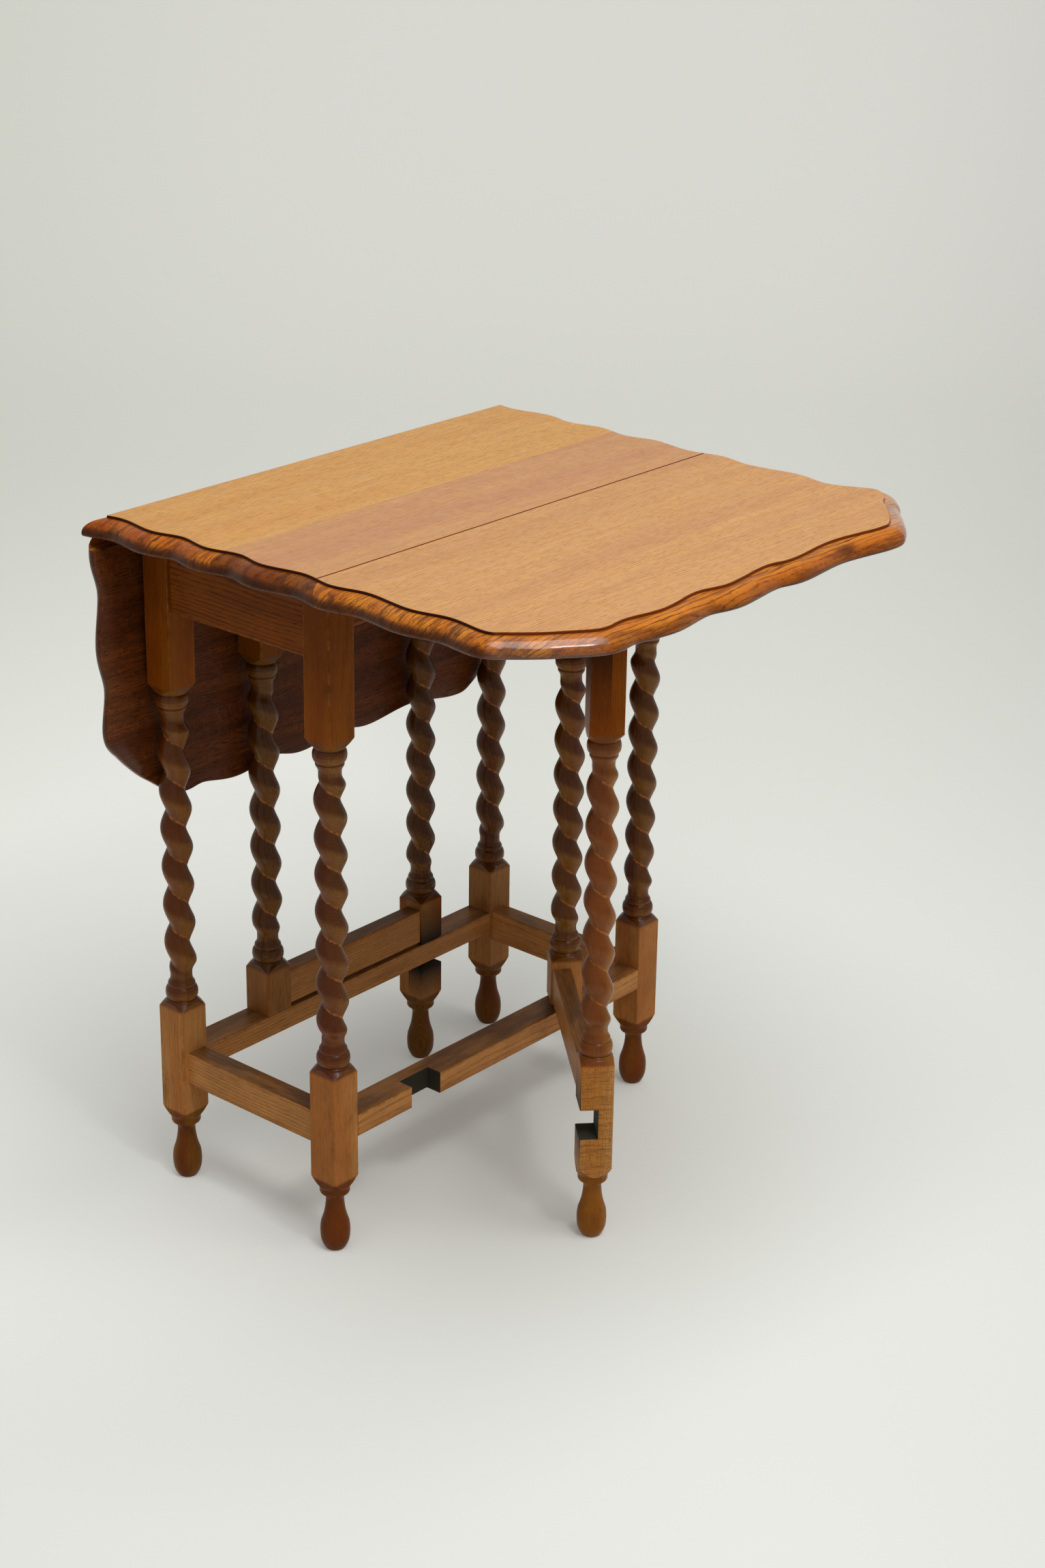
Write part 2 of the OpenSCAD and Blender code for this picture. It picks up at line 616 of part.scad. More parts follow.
module top_hinge_screws() {
    color(iron) for (m = [0, 1]) mirror([m, 0, 0]) at_hinges()
        for (p = top_screw_xy) wood_screw(p, under, hinge_screw_d, hinge_screw_l, plate_t);
}
module leaf_plates(side) { color(iron) place_leaf(side) at_hinges() leaf_plate(); }
module leaf_plate_screws(side) { color(iron) place_leaf(side) at_hinges() leaf_screws(); }
module hinge_pins(side) {
    color(iron) mirror([side == "left" ? 1 : 0, 0, 0]) at_hinges()
        translate([joint_x, 0, pin_z]) along_y(hinge_pin_d, hinge_l);
}

placed() leg(-1, -1);  // leg_near_left
placed() leg(1, -1);  // leg_near_right
placed() leg(-1, 1);  // leg_far_left
placed() leg(1, 1);  // leg_far_right
placed() top_board_wide();
placed() top_board_narrow();
placed() end_apron(-1);  // apron_end_near
placed() end_apron(1);  // apron_end_far
placed() half_turn("left") side_apron();  // apron_side_left
placed() half_turn("right") side_apron();  // apron_side_right
placed() end_stretcher(-1);  // stretcher_end_near
placed() end_stretcher(1);  // stretcher_end_far
placed() half_turn("left") side_stretcher();  // stretcher_side_left
placed() half_turn("right") side_stretcher();  // stretcher_side_right
placed() frame_dowels();
placed() screw_blocks();
placed() top_screws();
placed() top_hinge_plates("left");  // top_hinge_plates_left
placed() top_hinge_plates("right");  // top_hinge_plates_right
placed() top_hinge_screws();
placed() hinge_pins("left");  // hinge_pins_left
placed() hinge_pins("right");  // hinge_pins_right
placed() half_turn("left") color(iron)  // pivot_pins_left
    pivot_pins(pivot_d, 0);
placed() color(iron) pivot_pins(pivot_d, 0);  // pivot_pins_right
placed() gate_post("left");  // gate_left_pivot_post
placed() gate_leg("left");  // gate_left_outer_leg
placed() gate_rail("left", gate_high_z, gate_high_h);  // gate_left_top_rail
placed() gate_rail("left", gate_low_z, gate_low_h);  // gate_left_bottom_rail
placed() gate_dowels("left");  // gate_left_dowels
placed() gate_post("right");  // gate_right_pivot_post
placed() gate_leg("right");  // gate_right_outer_leg
placed() gate_rail("right", gate_high_z, gate_high_h);  // gate_right_top_rail
placed() gate_rail("right", gate_low_z, gate_low_h);  // gate_right_bottom_rail
placed() gate_dowels("right");  // gate_right_dowels
placed() color(oak_leaf) place_leaf("left") leaf_board();  // leaf_left_board
placed() leaf_plates("left");  // leaf_left_hinge_plates
placed() leaf_plate_screws("left");  // leaf_left_hinge_screws
placed() color(oak_leaf) place_leaf("right") leaf_board();  // leaf_right_board
placed() leaf_plates("right");  // leaf_right_hinge_plates
placed() leaf_plate_screws("right");  // leaf_right_hinge_screws
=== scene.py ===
"""A gateleg drop leaf table in waxed oak: eight barley-twist legs and posts, two
swinging gates, a scalloped top in two boards and two leaves on rule joints."""
import math

import bmesh
import bpy
import numpy as np
from mathutils import Matrix, Vector


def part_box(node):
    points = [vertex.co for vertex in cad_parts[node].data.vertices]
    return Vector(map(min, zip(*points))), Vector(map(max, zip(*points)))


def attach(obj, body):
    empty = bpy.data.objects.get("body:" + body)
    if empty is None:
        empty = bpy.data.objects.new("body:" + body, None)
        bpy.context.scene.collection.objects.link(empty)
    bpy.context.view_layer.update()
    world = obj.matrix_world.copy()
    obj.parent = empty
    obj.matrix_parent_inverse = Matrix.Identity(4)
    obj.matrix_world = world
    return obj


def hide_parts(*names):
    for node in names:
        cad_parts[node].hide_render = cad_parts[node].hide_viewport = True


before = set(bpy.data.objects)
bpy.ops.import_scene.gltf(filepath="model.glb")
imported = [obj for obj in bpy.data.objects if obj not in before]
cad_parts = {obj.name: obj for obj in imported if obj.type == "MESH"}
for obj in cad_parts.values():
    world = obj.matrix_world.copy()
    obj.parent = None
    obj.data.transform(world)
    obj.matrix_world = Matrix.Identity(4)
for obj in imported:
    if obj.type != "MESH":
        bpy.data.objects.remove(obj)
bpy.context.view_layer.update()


# ---------------------------------------------------------------------------
# Legs and posts. Eight squares of oak, left square where the rails meet them,
# turned with beads, necks and bulb feet between, then carved by hand with one
# left-handed barley-twist strand. Stained dark brown and waxed, with painted
# shade darkening them under the top and on the slopes that face up.
# ---------------------------------------------------------------------------
MM = 0.001


def put(tree, kind, *sockets, **settings):
    """Places a node: settings are its properties, sockets its inputs in order."""
    node = tree.nodes.new(kind)
    for name, value in settings.items():
        setattr(node, name, value)
    for slot, value in enumerate(sockets):
        if isinstance(value, bpy.types.NodeSocket):
            tree.links.new(value, node.inputs[slot])
        elif value is not None:
            node.inputs[slot].default_value = value
    return node


def maths(tree, operation, *values):
    return put(tree, "ShaderNodeMath", *values, operation=operation).outputs[0]


def times(tree, *values):
    return maths(tree, "MULTIPLY", *values)


def vectors(tree, operation, *values):
    return put(tree, "ShaderNodeVectorMath", *values, operation=operation).outputs[0]


def part(tree, vector, axis):
    """The X, Y or Z of a vector: axis is 0, 1 or 2."""
    return put(tree, "ShaderNodeSeparateXYZ", vector).outputs[axis]


def in_millimetres(tree, place):
    return vectors(tree, "MULTIPLY", place, (1000.0, 1000.0, 1000.0))


def fade(tree, value, low, high, out_low=0.0, out_high=1.0):
    """A smooth step from out_low to out_high as value goes from low to high."""
    node = put(tree, "ShaderNodeMapRange", value, low, high, out_low, out_high,
               interpolation_type="SMOOTHSTEP")
    return node.outputs[0]


def tint(tree, share, colour_a, colour_b, mode="MIX"):
    node = put(tree, "ShaderNodeMix", share, None, None, None, None, None, colour_a, colour_b,
               data_type="RGBA", blend_type=mode)
    return node.outputs[2]


def shaded(tree, colour, by):
    """A colour made lighter or darker by a factor."""
    return tint(tree, 1.0, colour, put(tree, "ShaderNodeCombineXYZ", by, by, by).outputs[0], "MULTIPLY")


def noise(tree, place, stretch, detail=2.0, rough=0.55, seed=0.0):
    """Noise stretched along the wood; stretch is in cycles per millimetre."""
    spread = vectors(tree, "MULTIPLY_ADD", place, stretch, (seed, seed * 1.7, seed * 2.3))
    return put(tree, "ShaderNodeTexNoise", spread, None, 1.0, detail, rough).outputs[0]


def new_group(name, kind, inputs, outputs):
    tree = bpy.data.node_groups.new(name, kind)
    for in_out, sockets in (("INPUT", inputs), ("OUTPUT", outputs)):
        for label, socket, value in sockets:
            made = tree.interface.new_socket(name=label, in_out=in_out, socket_type="NodeSocket" + socket)
            if value is not None:
                made.default_value = value
    start = tree.nodes.new("NodeGroupInput")
    end = tree.nodes.new("NodeGroupOutput")
    return tree, start.outputs, end


def use_group(tree, group, **inputs):
    node = tree.nodes.new("ShaderNodeGroup")
    node.node_tree = group
    for name, value in inputs.items():
        socket = node.inputs[name.replace("_", " ").title()]
        if isinstance(value, bpy.types.NodeSocket):
            tree.links.new(value, socket)
        else:
            socket.default_value = value
    return node.outputs


# Solid oak. Wood is a place in the board, X along the grain and the pith at
# Y = Z = 0, so rings, pores and rays run through the piece and every cut shows
# them as it would.
oak_figure, given, out = new_group("oak_figure", "ShaderNodeTree", [
    ("Wood", "Vector", None), ("Ring Width", "Float", 2.6), ("Spring", "Float", 0.45),
    ("Wander", "Float", 1.0), ("Late", "Color", None), ("Early", "Color", None), ("Pore", "Color", None),
    ("Warm", "Color", None), ("Ring Depth", "Float", 0.7), ("Pore Depth", "Float", 0.7),
    ("Ray Depth", "Float", 0.2)],
    [("Color", "Color", None), ("Pores", "Float", None), ("Rings", "Float", None), ("Height", "Float", None)])
t = oak_figure
grain = in_millimetres(t, given["Wood"])
split = put(t, "ShaderNodeSeparateXYZ", grain).outputs
radius = maths(t, "SQRT", maths(t, "ADD", times(t, split[1], split[1]), times(t, split[2], split[2])))
drift = maths(t, "SUBTRACT", noise(t, grain, (0.004, 0.02, 0.02), 2.0, 0.5), 0.5)
ripple = maths(t, "SUBTRACT", noise(t, grain, (0.02, 0.12, 0.12), 2.0, 0.6, 4.0), 0.5)
shift = maths(t, "MULTIPLY_ADD", ripple, 2.2, times(t, drift, 13.0))
radius = maths(t, "MULTIPLY_ADD", shift, given["Wander"], radius)
count = maths(t, "DIVIDE", radius, given["Ring Width"])
ring = maths(t, "FRACT", count)
year = put(t, "ShaderNodeTexWhiteNoise", None, maths(t, "FLOOR", count), noise_dimensions="1D").outputs[0]
spring = times(t, maths(t, "MULTIPLY_ADD", year, 0.8, 0.6), given["Spring"])
early = maths(t, "MAXIMUM", fade(t, ring, 0.02, spring, 1.0, 0.0), fade(t, ring, 0.9, 1.0))
# Pores: short dark ticks, crowded in the spring wood
cell = vectors(t, "MULTIPLY", grain, (0.075, 0.72, 0.72))
tick = put(t, "ShaderNodeTexVoronoi", cell, None, 1.0, feature="F1").outputs[0]
reach = maths(t, "MULTIPLY_ADD", early, 0.3, 0.17)
pores = fade(t, tick, times(t, reach, 0.6), maths(t, "ADD", reach, 0.1), 1.0, 0.0)
# Fibres: fine soft streaks, and slow changes of tone
fibre = noise(t, grain, (0.02, 1.1, 1.1), 3.0, 0.6, 9.0)
slow = noise(t, grain, (0.0016, 0.035, 0.035), 1.0, 0.4, 17.0)
# Rays: thin sheets from the pith outwards, which show as flecks where a cut runs
# along them
spoke = vectors(t, "NORMALIZE", put(t, "ShaderNodeCombineXYZ", 0.0, split[1], split[2]).outputs[0])
run = maths(t, "MULTIPLY_ADD", radius, 0.045, times(t, split[0], 0.12))
sheet = vectors(t, "MULTIPLY_ADD", spoke, (0.0, 63.0, 63.0), put(t, "ShaderNodeCombineXYZ", run).outputs[0])
rays = fade(t, put(t, "ShaderNodeTexNoise", sheet, None, 1.0, 1.0, 0.4).outputs[0], 0.6, 0.7)
colour = tint(t, times(t, early, given["Ring Depth"]), given["Late"], given["Early"])
colour = tint(t, fade(t, slow, 0.4, 0.68), colour, given["Warm"])
colour = shaded(t, colour, fade(t, fibre, 0.25, 0.75, 0.86, 1.12))
flecks = times(t, rays, given["Ray Depth"])
colour = tint(t, flecks, colour, (0.9, 0.72, 0.5, 1.0), "SOFT_LIGHT")
colour = tint(t, times(t, pores, given["Pore Depth"]), colour, given["Pore"])
relief = maths(t, "MULTIPLY_ADD", fibre, 0.25, times(t, pores, -0.6))
relief = maths(t, "MULTIPLY_ADD", early, -0.15, relief)
for label, value in (("Color", colour), ("Pores", pores), ("Rings", early), ("Height", relief)):
    t.links.new(value, out.inputs[label])

# Years of wax and hands: dark in the hollows, rubbed thin on the arrises, with
# faint scuffs and blotches
patina, given, out = new_group("patina", "ShaderNodeTree", [
    ("Base", "Color", None), ("Grime", "Color", None), ("Rubbed", "Color", None),
    ("Hollow", "Float", 0.0), ("Arris", "Float", 0.0), ("Place", "Vector", None)],
    [("Color", "Color", None), ("Roughness", "Float", None)])
t = patina
place = in_millimetres(t, given["Place"])
blotch = noise(t, place, (0.018, 0.018, 0.018), 3.0, 0.6, 3.0)
scuff = noise(t, place, (0.11, 0.11, 0.11), 4.0, 0.65, 8.0)
deep = times(t, fade(t, given["Hollow"], 0.05, 1.0), fade(t, scuff, 0.2, 0.6, 0.35, 0.6))
worn = times(t, fade(t, given["Arris"], 0.1, 0.9), fade(t, scuff, 0.4, 0.75))
colour = tint(t, deep, given["Base"], given["Grime"])
colour = tint(t, worn, colour, given["Rubbed"])
colour = shaded(t, colour, fade(t, blotch, 0.3, 0.7, 0.88, 1.08))
gloss = maths(t, "MULTIPLY_ADD", scuff, 0.22, 0.26)
gloss = maths(t, "MULTIPLY_ADD", deep, 0.12, gloss)
t.links.new(colour, out.inputs["Color"])
t.links.new(gloss, out.inputs["Roughness"])


def read(tree, name):
    """An attribute of the piece: its place in the wood, or a mask."""
    node = put(tree, "ShaderNodeAttribute", attribute_name=name)
    return node.outputs["Vector" if name == "wood" else "Fac"]


def rgb(red, green, blue):
    """A colour from its usual 0-255 values, as the renderer reads it."""
    parts = [((c / 255 + 0.055) / 1.055) ** 2.4 if c > 10 else c / 3295 for c in (red, green, blue)]
    return (*parts, 1.0)


def finish_shader(material, colour, roughness, height, depth=0.12, polish=None, satin=0.25, specular=0.5):
    """Puts a waxed-wood surface on a material, with the relief of its grain, and
    a polish over the parts that a mask picks out."""
    tree = material.node_tree
    shader = tree.nodes["Principled BSDF"]
    shader.inputs["Specular IOR Level"].default_value = specular
    if polish:
        tree.links.new(polish, shader.inputs["Coat Weight"])
        shader.inputs["Coat Roughness"].default_value = satin
    tree.links.new(colour, shader.inputs["Base Color"])
    tree.links.new(roughness, shader.inputs["Roughness"])
    bump = put(tree, "ShaderNodeBump")
    bump.inputs["Strength"].default_value = depth
    bump.inputs["Distance"].default_value = 0.4 * MM
    tree.links.new(height, bump.inputs["Height"])
    tree.links.new(bump.outputs[0], shader.inputs["Normal"])


def new_material(name):
    material = bpy.data.materials.new(name)
    material.use_nodes = True
    return material, material.node_tree


turned_oak, t = new_material("turned_oak")
wood = read(t, "wood")
grain = in_millimetres(t, wood)
oak = use_group(t, oak_figure, wood=wood, ring_width=2.3, late=rgb(196, 135, 75), early=rgb(172, 112, 58),
                pore=rgb(112, 66, 32), warm=rgb(182, 112, 54), ring_depth=0.35, pore_depth=0.3, ray_depth=0.2)
carved = use_group(t, oak_figure, wood=wood, ring_width=1.3, wander=0.5, late=rgb(140, 88, 24),
                   early=rgb(118, 69, 14), pore=rgb(88, 46, 10), warm=rgb(118, 58, 13), ring_depth=0.6,
                   pore_depth=0.15, ray_depth=0.0)
golden = use_group(t, oak_figure, wood=wood, ring_width=1.5, wander=0.6, spring=0.22, late=rgb(146, 88, 25),
                   early=rgb(198, 130, 46), pore=rgb(98, 54, 14), warm=rgb(128, 68, 18), ring_depth=0.6,
                   pore_depth=0.2, ray_depth=0.0)
sawn = use_group(t, oak_figure, wood=wood, ring_width=2.3, late=rgb(204, 146, 84),
                 early=rgb(180, 120, 62), pore=rgb(104, 60, 28), warm=rgb(190, 124, 58), ring_depth=0.4,
                 pore_depth=0.35, ray_depth=0.3)
# Marks of the saw across the face that closes against the rail, and torn specks
teeth = noise(t, grain, (0.8, 0.03, 0.03), 3.0, 0.75, 12.0)
speck = noise(t, grain, (0.45, 0.4, 0.4), 2.0, 0.6, 22.0)
teeth_marks = fade(t, teeth, 0.5, 0.62, 0.0, 0.6)
torn = maths(t, "MAXIMUM", teeth_marks, fade(t, speck, 0.58, 0.68, 0.0, 0.6))
saw_face = tint(t, torn, sawn["Color"], rgb(112, 66, 32))
# Dark and orange under the top and in the carving: the high blocks are stained,
# with painted shade that grows darker towards the table top above them. The low
# blocks are lighter, and the foot dark again where it was kicked and polished
height = part(t, put(t, "ShaderNodeTexCoord").outputs["Object"], 2)
turned = times(t, fade(t, height, 0.199, 0.203), fade(t, height, 0.555, 0.551))
turned = maths(t, "MAXIMUM", turned, fade(t, height, 0.084, 0.08))
# The high blocks are stained, with painted shade darkening them towards the table top
stain_and_shade = tint(t, fade(t, height, 0.56, 0.68), rgb(200, 162, 74), rgb(170, 132, 58))
body = tint(t, fade(t, height, 0.196, 0.206), oak["Color"], stain_and_shade, "MULTIPLY")
body = tint(t, turned, body, tint(t, read(t, "bare"), carved["Color"], golden["Color"]))
mottle = noise(t, grain, (0.03, 0.08, 0.08), 3.0, 0.6, 51.0)
body = tint(t, fade(t, mottle, 0.52, 0.75, 0.0, 0.35), body, rgb(74, 34, 10))
# Painted shade on every slope of the turning that faces up, where the top above
# keeps the light off; least on the leg of the open gate, whose wood is bare
upward = part(t, put(t, "ShaderNodeNewGeometry").outputs["Normal"], 2)
painted_upward_shade = times(t, times(t, turned, fade(t, height, 0.15, 0.2)), fade(t, upward, -0.22, 0.3))
painted_upward_shade = times(t, painted_upward_shade, fade(t, read(t, "bare"), 0.0, 0.85, 1.0, 0.4))
body = shaded(t, tint(t, painted_upward_shade, body, rgb(198, 176, 114), "MULTIPLY"), read(t, "tone"))
aged = use_group(t, patina, base=body, grime=rgb(34, 17, 5), rubbed=rgb(160, 98, 44),
                 hollow=read(t, "hollow"), arris=read(t, "arris"), place=wood)
flake = noise(t, grain, (0.2, 0.2, 0.2), 3.0, 0.6, 5.0)
cleft = times(t, fade(t, read(t, "cleft"), 0.9, 1.0), fade(t, flake, 0.4, 0.6, 0.1, 0.7))
colour = tint(t, cleft, aged["Color"], rgb(206, 124, 48))
colour = tint(t, read(t, "raw"), colour, saw_face)
colour = tint(t, read(t, "notch"), colour, rgb(66, 66, 56))
rough = maths(t, "MULTIPLY_ADD", read(t, "raw"), 0.3, aged["Roughness"])
rough = maths(t, "MULTIPLY_ADD", read(t, "notch"), 0.3, rough)
deep_grain = times(t, oak["Height"], maths(t, "MULTIPLY_ADD", read(t, "raw"), 4.0, 1.0))
deep_grain = maths(t, "MULTIPLY_ADD", times(t, teeth, read(t, "raw")), 4.0, deep_grain)
polish = times(t, turned, fade(t, flake, 0.3, 0.7, 0.22, 0.42))
polish = times(t, polish, fade(t, height, 0.1, 0.25, 0.25, 1.0))
finish_shader(turned_oak, colour, rough, deep_grain, polish=polish, satin=0.2, specular=0.06)

# Millimetres: half a block's width, its soft arrises, the heights of the blocks,
# the length of the beads, and the neck and pitch of the twist between them. A post
# has STEPS points round it and RINGS along the twist, whose first and last EASE
# millimetres turn its points from lying square to following the strand.
BLOCK = 17.0
ARRIS = 1.1
LOW_BLOCK = (84.3, 199.0)
HIGH_BLOCK = 555.0
BEADED = 37.0
NECK = 11.3
PITCH = 40.0
LOW_TWIST, HIGH_TWIST = LOW_BLOCK[1] + BEADED, HIGH_BLOCK - BEADED
MID = (LOW_TWIST + HIGH_TWIST) / 2
STEPS = 96
RINGS = 226
EASE = 6.0

# Outlines of the turned work, radius and height: the cone at a block's end, the
# beads from there to the twist, and the foot
CONE = 24.1
SHOULDER = (16.6, 7.9)
ANKLE = (15.7, 71.9)
BEADS = [SHOULDER, (15.6, 9.4), (14.9, 10.1), (15.2, 10.8), (15.9, 12), (16.6, 14), (16.9, 17), (16.6, 20.2),
         (15.8, 22.4), (14.6, 24), (13.9, 24.7), (14, 25.2), (14.2, 26.2), (14, 27.6), (13.5, 28.8),
         (12.5, 30.2), (11.7, 32), (11.35, 34), (NECK, BEADED)]
FOOT = [(9, 0), (10, 0.7), (10.9, 2), (13, 5.9), (14.4, 10), (15.05, 14), (15.35, 20.5), (15.1, 25.5),
        (14.5, 30), (13.3, 34), (12, 38), (11, 42), (10.25, 46), (9.5, 52), (9.2, 57), (9.6, 59.2),
        (10.7, 61.4), (12.6, 63.4), (14.6, 64.8), (15.3, 66.2), (15.4, 69), (15.4, 71.4), ANKLE]


def block_ring():
    """The rounded square of a block, anticlockwise, with its points crowded at the arrises."""
    flat, ring, side = BLOCK - ARRIS, [], STEPS // 4 - 3
    for quarter in range(4):
        turn = Matrix.Rotation(quarter * math.pi / 2, 2)
        for i in range(side):
            ring.append(turn @ Vector((BLOCK, flat * (2 * i / (side - 1) - 1))))
        for i in (1, 2, 3):
            angle = i * math.pi / 8
            ring.append(turn @ Vector((flat + ARRIS * math.cos(angle), flat + ARRIS * math.sin(angle))))
    return np.array([tuple(p) for p in ring])


SQUARE = block_ring()
REACH = np.hypot(SQUARE[:, 0], SQUARE[:, 1])
AWAY = SQUARE / REACH[:, None]
# How near an arris each point of the square lies
CORNER = np.clip((REACH - 22.2) / 1.2, 0, 1)


def level(x, y, z, hollow=0.0, arris=0.0):
    """One ring of a post: places, and its masks for grime and wear."""
    whole = np.ones(STEPS)
    return np.stack([x, y, z * whole, hollow * whole, arris * whole], 1)


def block_rows(low, high):
    return [level(SQUARE[:, 0], SQUARE[:, 1], z, 0, CORNER) for z in (low, high)]


def shoulder_rows(z_thin, r_thin, z_wide):
    """The cone that cuts a block's end, its crease with the faces kept crisp."""
    crease = z_thin + (REACH - r_thin) / (CONE - r_thin) * (z_wide - z_thin)
    rows = []
    for share in np.linspace(0, 1, 9):
        z = z_thin + (crease - z_thin) * share
        r = r_thin + (REACH - r_thin) * share
        rows.append(level(AWAY[:, 0] * r, AWAY[:, 1] * r, z, 0, 0.8 if share == 1 else 0))
    for share in (0.12, 1):
        z = crease + (z_wide + math.copysign(0.3, z_wide - z_thin) - crease) * share
        rows.append(level(SQUARE[:, 0], SQUARE[:, 1], z, 0, CORNER))
    return rows


def turned_rows(outline, spacing):
    """Rings of turned work; hollows hold grime and the crests of beads are rubbed."""
    radii, heights = np.array(outline).T
    places = np.arange(heights[0], heights[-1], spacing)
    places = np.unique(np.concatenate([places, heights]))
    size = np.interp(places, heights, radii)
    rows = []
    for z, r in zip(places, size):
        mean = np.interp(np.linspace(z - 2.6, z + 2.6, 15), heights, radii).mean()
        hollow, crest = max(0, (mean - r) / 0.9), max(0, (r - mean) / 1.1)
        rows.append(level(AWAY[:, 0] * r, AWAY[:, 1] * r, z, hollow, crest))
    return rows


def post_blank(bottom, top, footed, side, share):
    """All rings of a turned post, foot to head, those of the twist's stretch
    running with the strand that is to be carved there."""
    if footed:
        rows = turned_rows(FOOT, 1.3)[:-1] + shoulder_rows(ANKLE[1], ANKLE[0], LOW_BLOCK[0])
    else:
        rows = block_rows(bottom, bottom + 1)[:1]
    rows += shoulder_rows(LOW_BLOCK[1] + SHOULDER[1], SHOULDER[0], LOW_BLOCK[1])[::-1]
    beads = turned_rows(BEADS, 0.5)[1:-1]
    for row in beads:
        row[:, 2] += LOW_BLOCK[1]
    rows += beads
    slope = 2 * math.pi / (PITCH * share)
    # Angles of a ring's points as they lie on the square, and evenly spaced
    own = np.unwrap(np.arctan2(SQUARE[:, 1], SQUARE[:, 0]))
    step = 2 * math.pi / STEPS
    even = own.mean() + step * (np.arange(STEPS) - (STEPS - 1) / 2)
    # One point of each ring, number line, follows the valley all the way up
    valley = math.radians(side + 180)
    line = round((valley - slope * (LOW_TWIST - MID) - even[0]) / step)

    def spin(z):
        """How far a ring of the twist is turned at a height."""
        return valley - slope * (z - MID) - even[0] - line * step

    # Above the twist the points lie on the square again, move places further round
    move = round(spin(HIGH_TWIST) / step)
    turned = np.arange(STEPS) + move
    own_high = own[turned % STEPS] + 2 * math.pi * (turned // STEPS)
    for z in np.linspace(LOW_TWIST, HIGH_TWIST, RINGS):
        start, end = min(1, (z - LOW_TWIST) / EASE), min(1, (HIGH_TWIST - z) / EASE)
        angle = even + spin(z)
        angle = own + (angle - own) * start if start < 1 else angle
        angle = own_high + (angle - own_high) * end if end < 1 else angle
        rows.append(level(NECK * np.cos(angle), NECK * np.sin(angle), z))
    high = turned_rows(BEADS, 0.5)[1:-1]
    for row in high:
        row[:, 2] = HIGH_BLOCK - row[:, 2]
    high = high[::-1] + shoulder_rows(HIGH_BLOCK - SHOULDER[1], SHOULDER[0], HIGH_BLOCK)
    high += block_rows(top - 1, top)[1:]
    rows += [np.roll(row, -move, 0) for row in high]
    return np.array(rows)


def ring_faces(count, size):
    """Faces of a closed shape whose points lie in rings, one ring after another."""
    ends = [tuple(range(size - 1, -1, -1)), tuple(range((count - 1) * size, count * size))]
    return ends + [(low + i, low + (i + 1) % size, low + size + (i + 1) % size, low + size + i)
                   for low in range(0, (count - 1) * size, size) for i in range(size)]


# The carving: every ring between two heights is cut back to one strand that
# stands off the axis and climbs left-handed, growing out of the neck at its ends
barley_twist, given, out = new_group("barley_twist", "GeometryNodeTree", [
    ("Blank", "Geometry", None), ("Axis", "Vector", None), ("Pitch", "Float", 0.04), ("Side", "Float", 0.0),
    ("Ridge", "Float", 0.0163), ("Valley", "Float", 0.0097), ("Roundness", "Float", 0.5),
    ("Neck", "Float", 0.0113), ("Lower End", "Float", 0.236), ("Upper End", "Float", 0.518),
    ("Growth", "Float", 0.015), ("Finish", "Material", None)], [("Post", "Geometry", None)])
t = barley_twist
spot = vectors(t, "SUBTRACT", put(t, "GeometryNodeInputPosition").outputs[0], given["Axis"])
x, y, z = put(t, "ShaderNodeSeparateXYZ", spot).outputs
mid = times(t, maths(t, "ADD", given["Lower End"], given["Upper End"]), 0.5)
climb = maths(t, "DIVIDE", times(t, maths(t, "SUBTRACT", z, mid), math.tau), given["Pitch"])
phase = maths(t, "ADD", maths(t, "SUBTRACT", maths(t, "ARCTAN2", y, x), given["Side"]), climb)
swell = maths(t, "MULTIPLY_ADD", maths(t, "COSINE", phase), 0.5, 0.5)
vee = maths(t, "ABSOLUTE", maths(t, "COSINE", times(t, phase, 0.5)))
strand = put(t, "ShaderNodeMix", given["Roundness"], None, vee, swell, data_type="FLOAT").outputs[0]
stand = maths(t, "SUBTRACT", given["Ridge"], given["Valley"])
carved = maths(t, "MULTIPLY_ADD", stand, strand, given["Valley"])
inside = maths(t, "MINIMUM", maths(t, "SUBTRACT", z, given["Lower End"]),
               maths(t, "SUBTRACT", given["Upper End"], z))
growth = fade(t, inside, 0.0, given["Growth"])
radius = put(t, "ShaderNodeMix", growth, None, given["Neck"], carved, data_type="FLOAT").outputs[0]
spoke = vectors(t, "NORMALIZE", put(t, "ShaderNodeCombineXYZ", x, y, 0.0).outputs[0])
spoke = vectors(t, "SCALE", spoke, None, None, radius)
rise = put(t, "ShaderNodeCombineXYZ", 0.0, 0.0, z).outputs[0]
place = vectors(t, "ADD", vectors(t, "ADD", spoke, rise), given["Axis"])
within = put(t, "FunctionNodeCompare", inside, 0.0, data_type="FLOAT", operation="GREATER_THAN").outputs[0]
cut = put(t, "GeometryNodeSetPosition", given["Blank"], within, place).outputs[0]
depth = times(t, maths(t, "SUBTRACT", 1.0, strand), growth)
clean = put(t, "GeometryNodeStoreNamedAttribute", cut, within, "hollow", data_type="FLOAT")
cleft = put(t, "GeometryNodeStoreNamedAttribute", clean.outputs[0], within, "cleft", data_type="FLOAT")
t.links.new(depth, cleft.inputs["Value"])
cut = put(t, "GeometryNodeRealizeInstances", cleft.outputs[0]).outputs[0]
cut = put(t, "GeometryNodeSetMaterial", cut, None).outputs[0]
t.links.new(given["Finish"], cut.node.inputs["Material"])
t.links.new(cut, out.inputs["Post"])


def grown(piece, group, **inputs):
    """Runs a node tree on a piece and keeps the result as its plain mesh."""
    modifier = piece.modifiers.new(group.name, "NODES")
    modifier.node_group = group
    sockets = {s.name: s.identifier for s in group.interface.items_tree if s.in_out == "INPUT"}
    for name, value in inputs.items():
        modifier[sockets[name.replace("_", " ").title()]] = value
    bpy.context.view_layer.update()
    result = piece.evaluated_get(bpy.context.evaluated_depsgraph_get())
    mesh = bpy.data.meshes.new_from_object(result)
    piece.modifiers.remove(modifier)
    piece.data = mesh


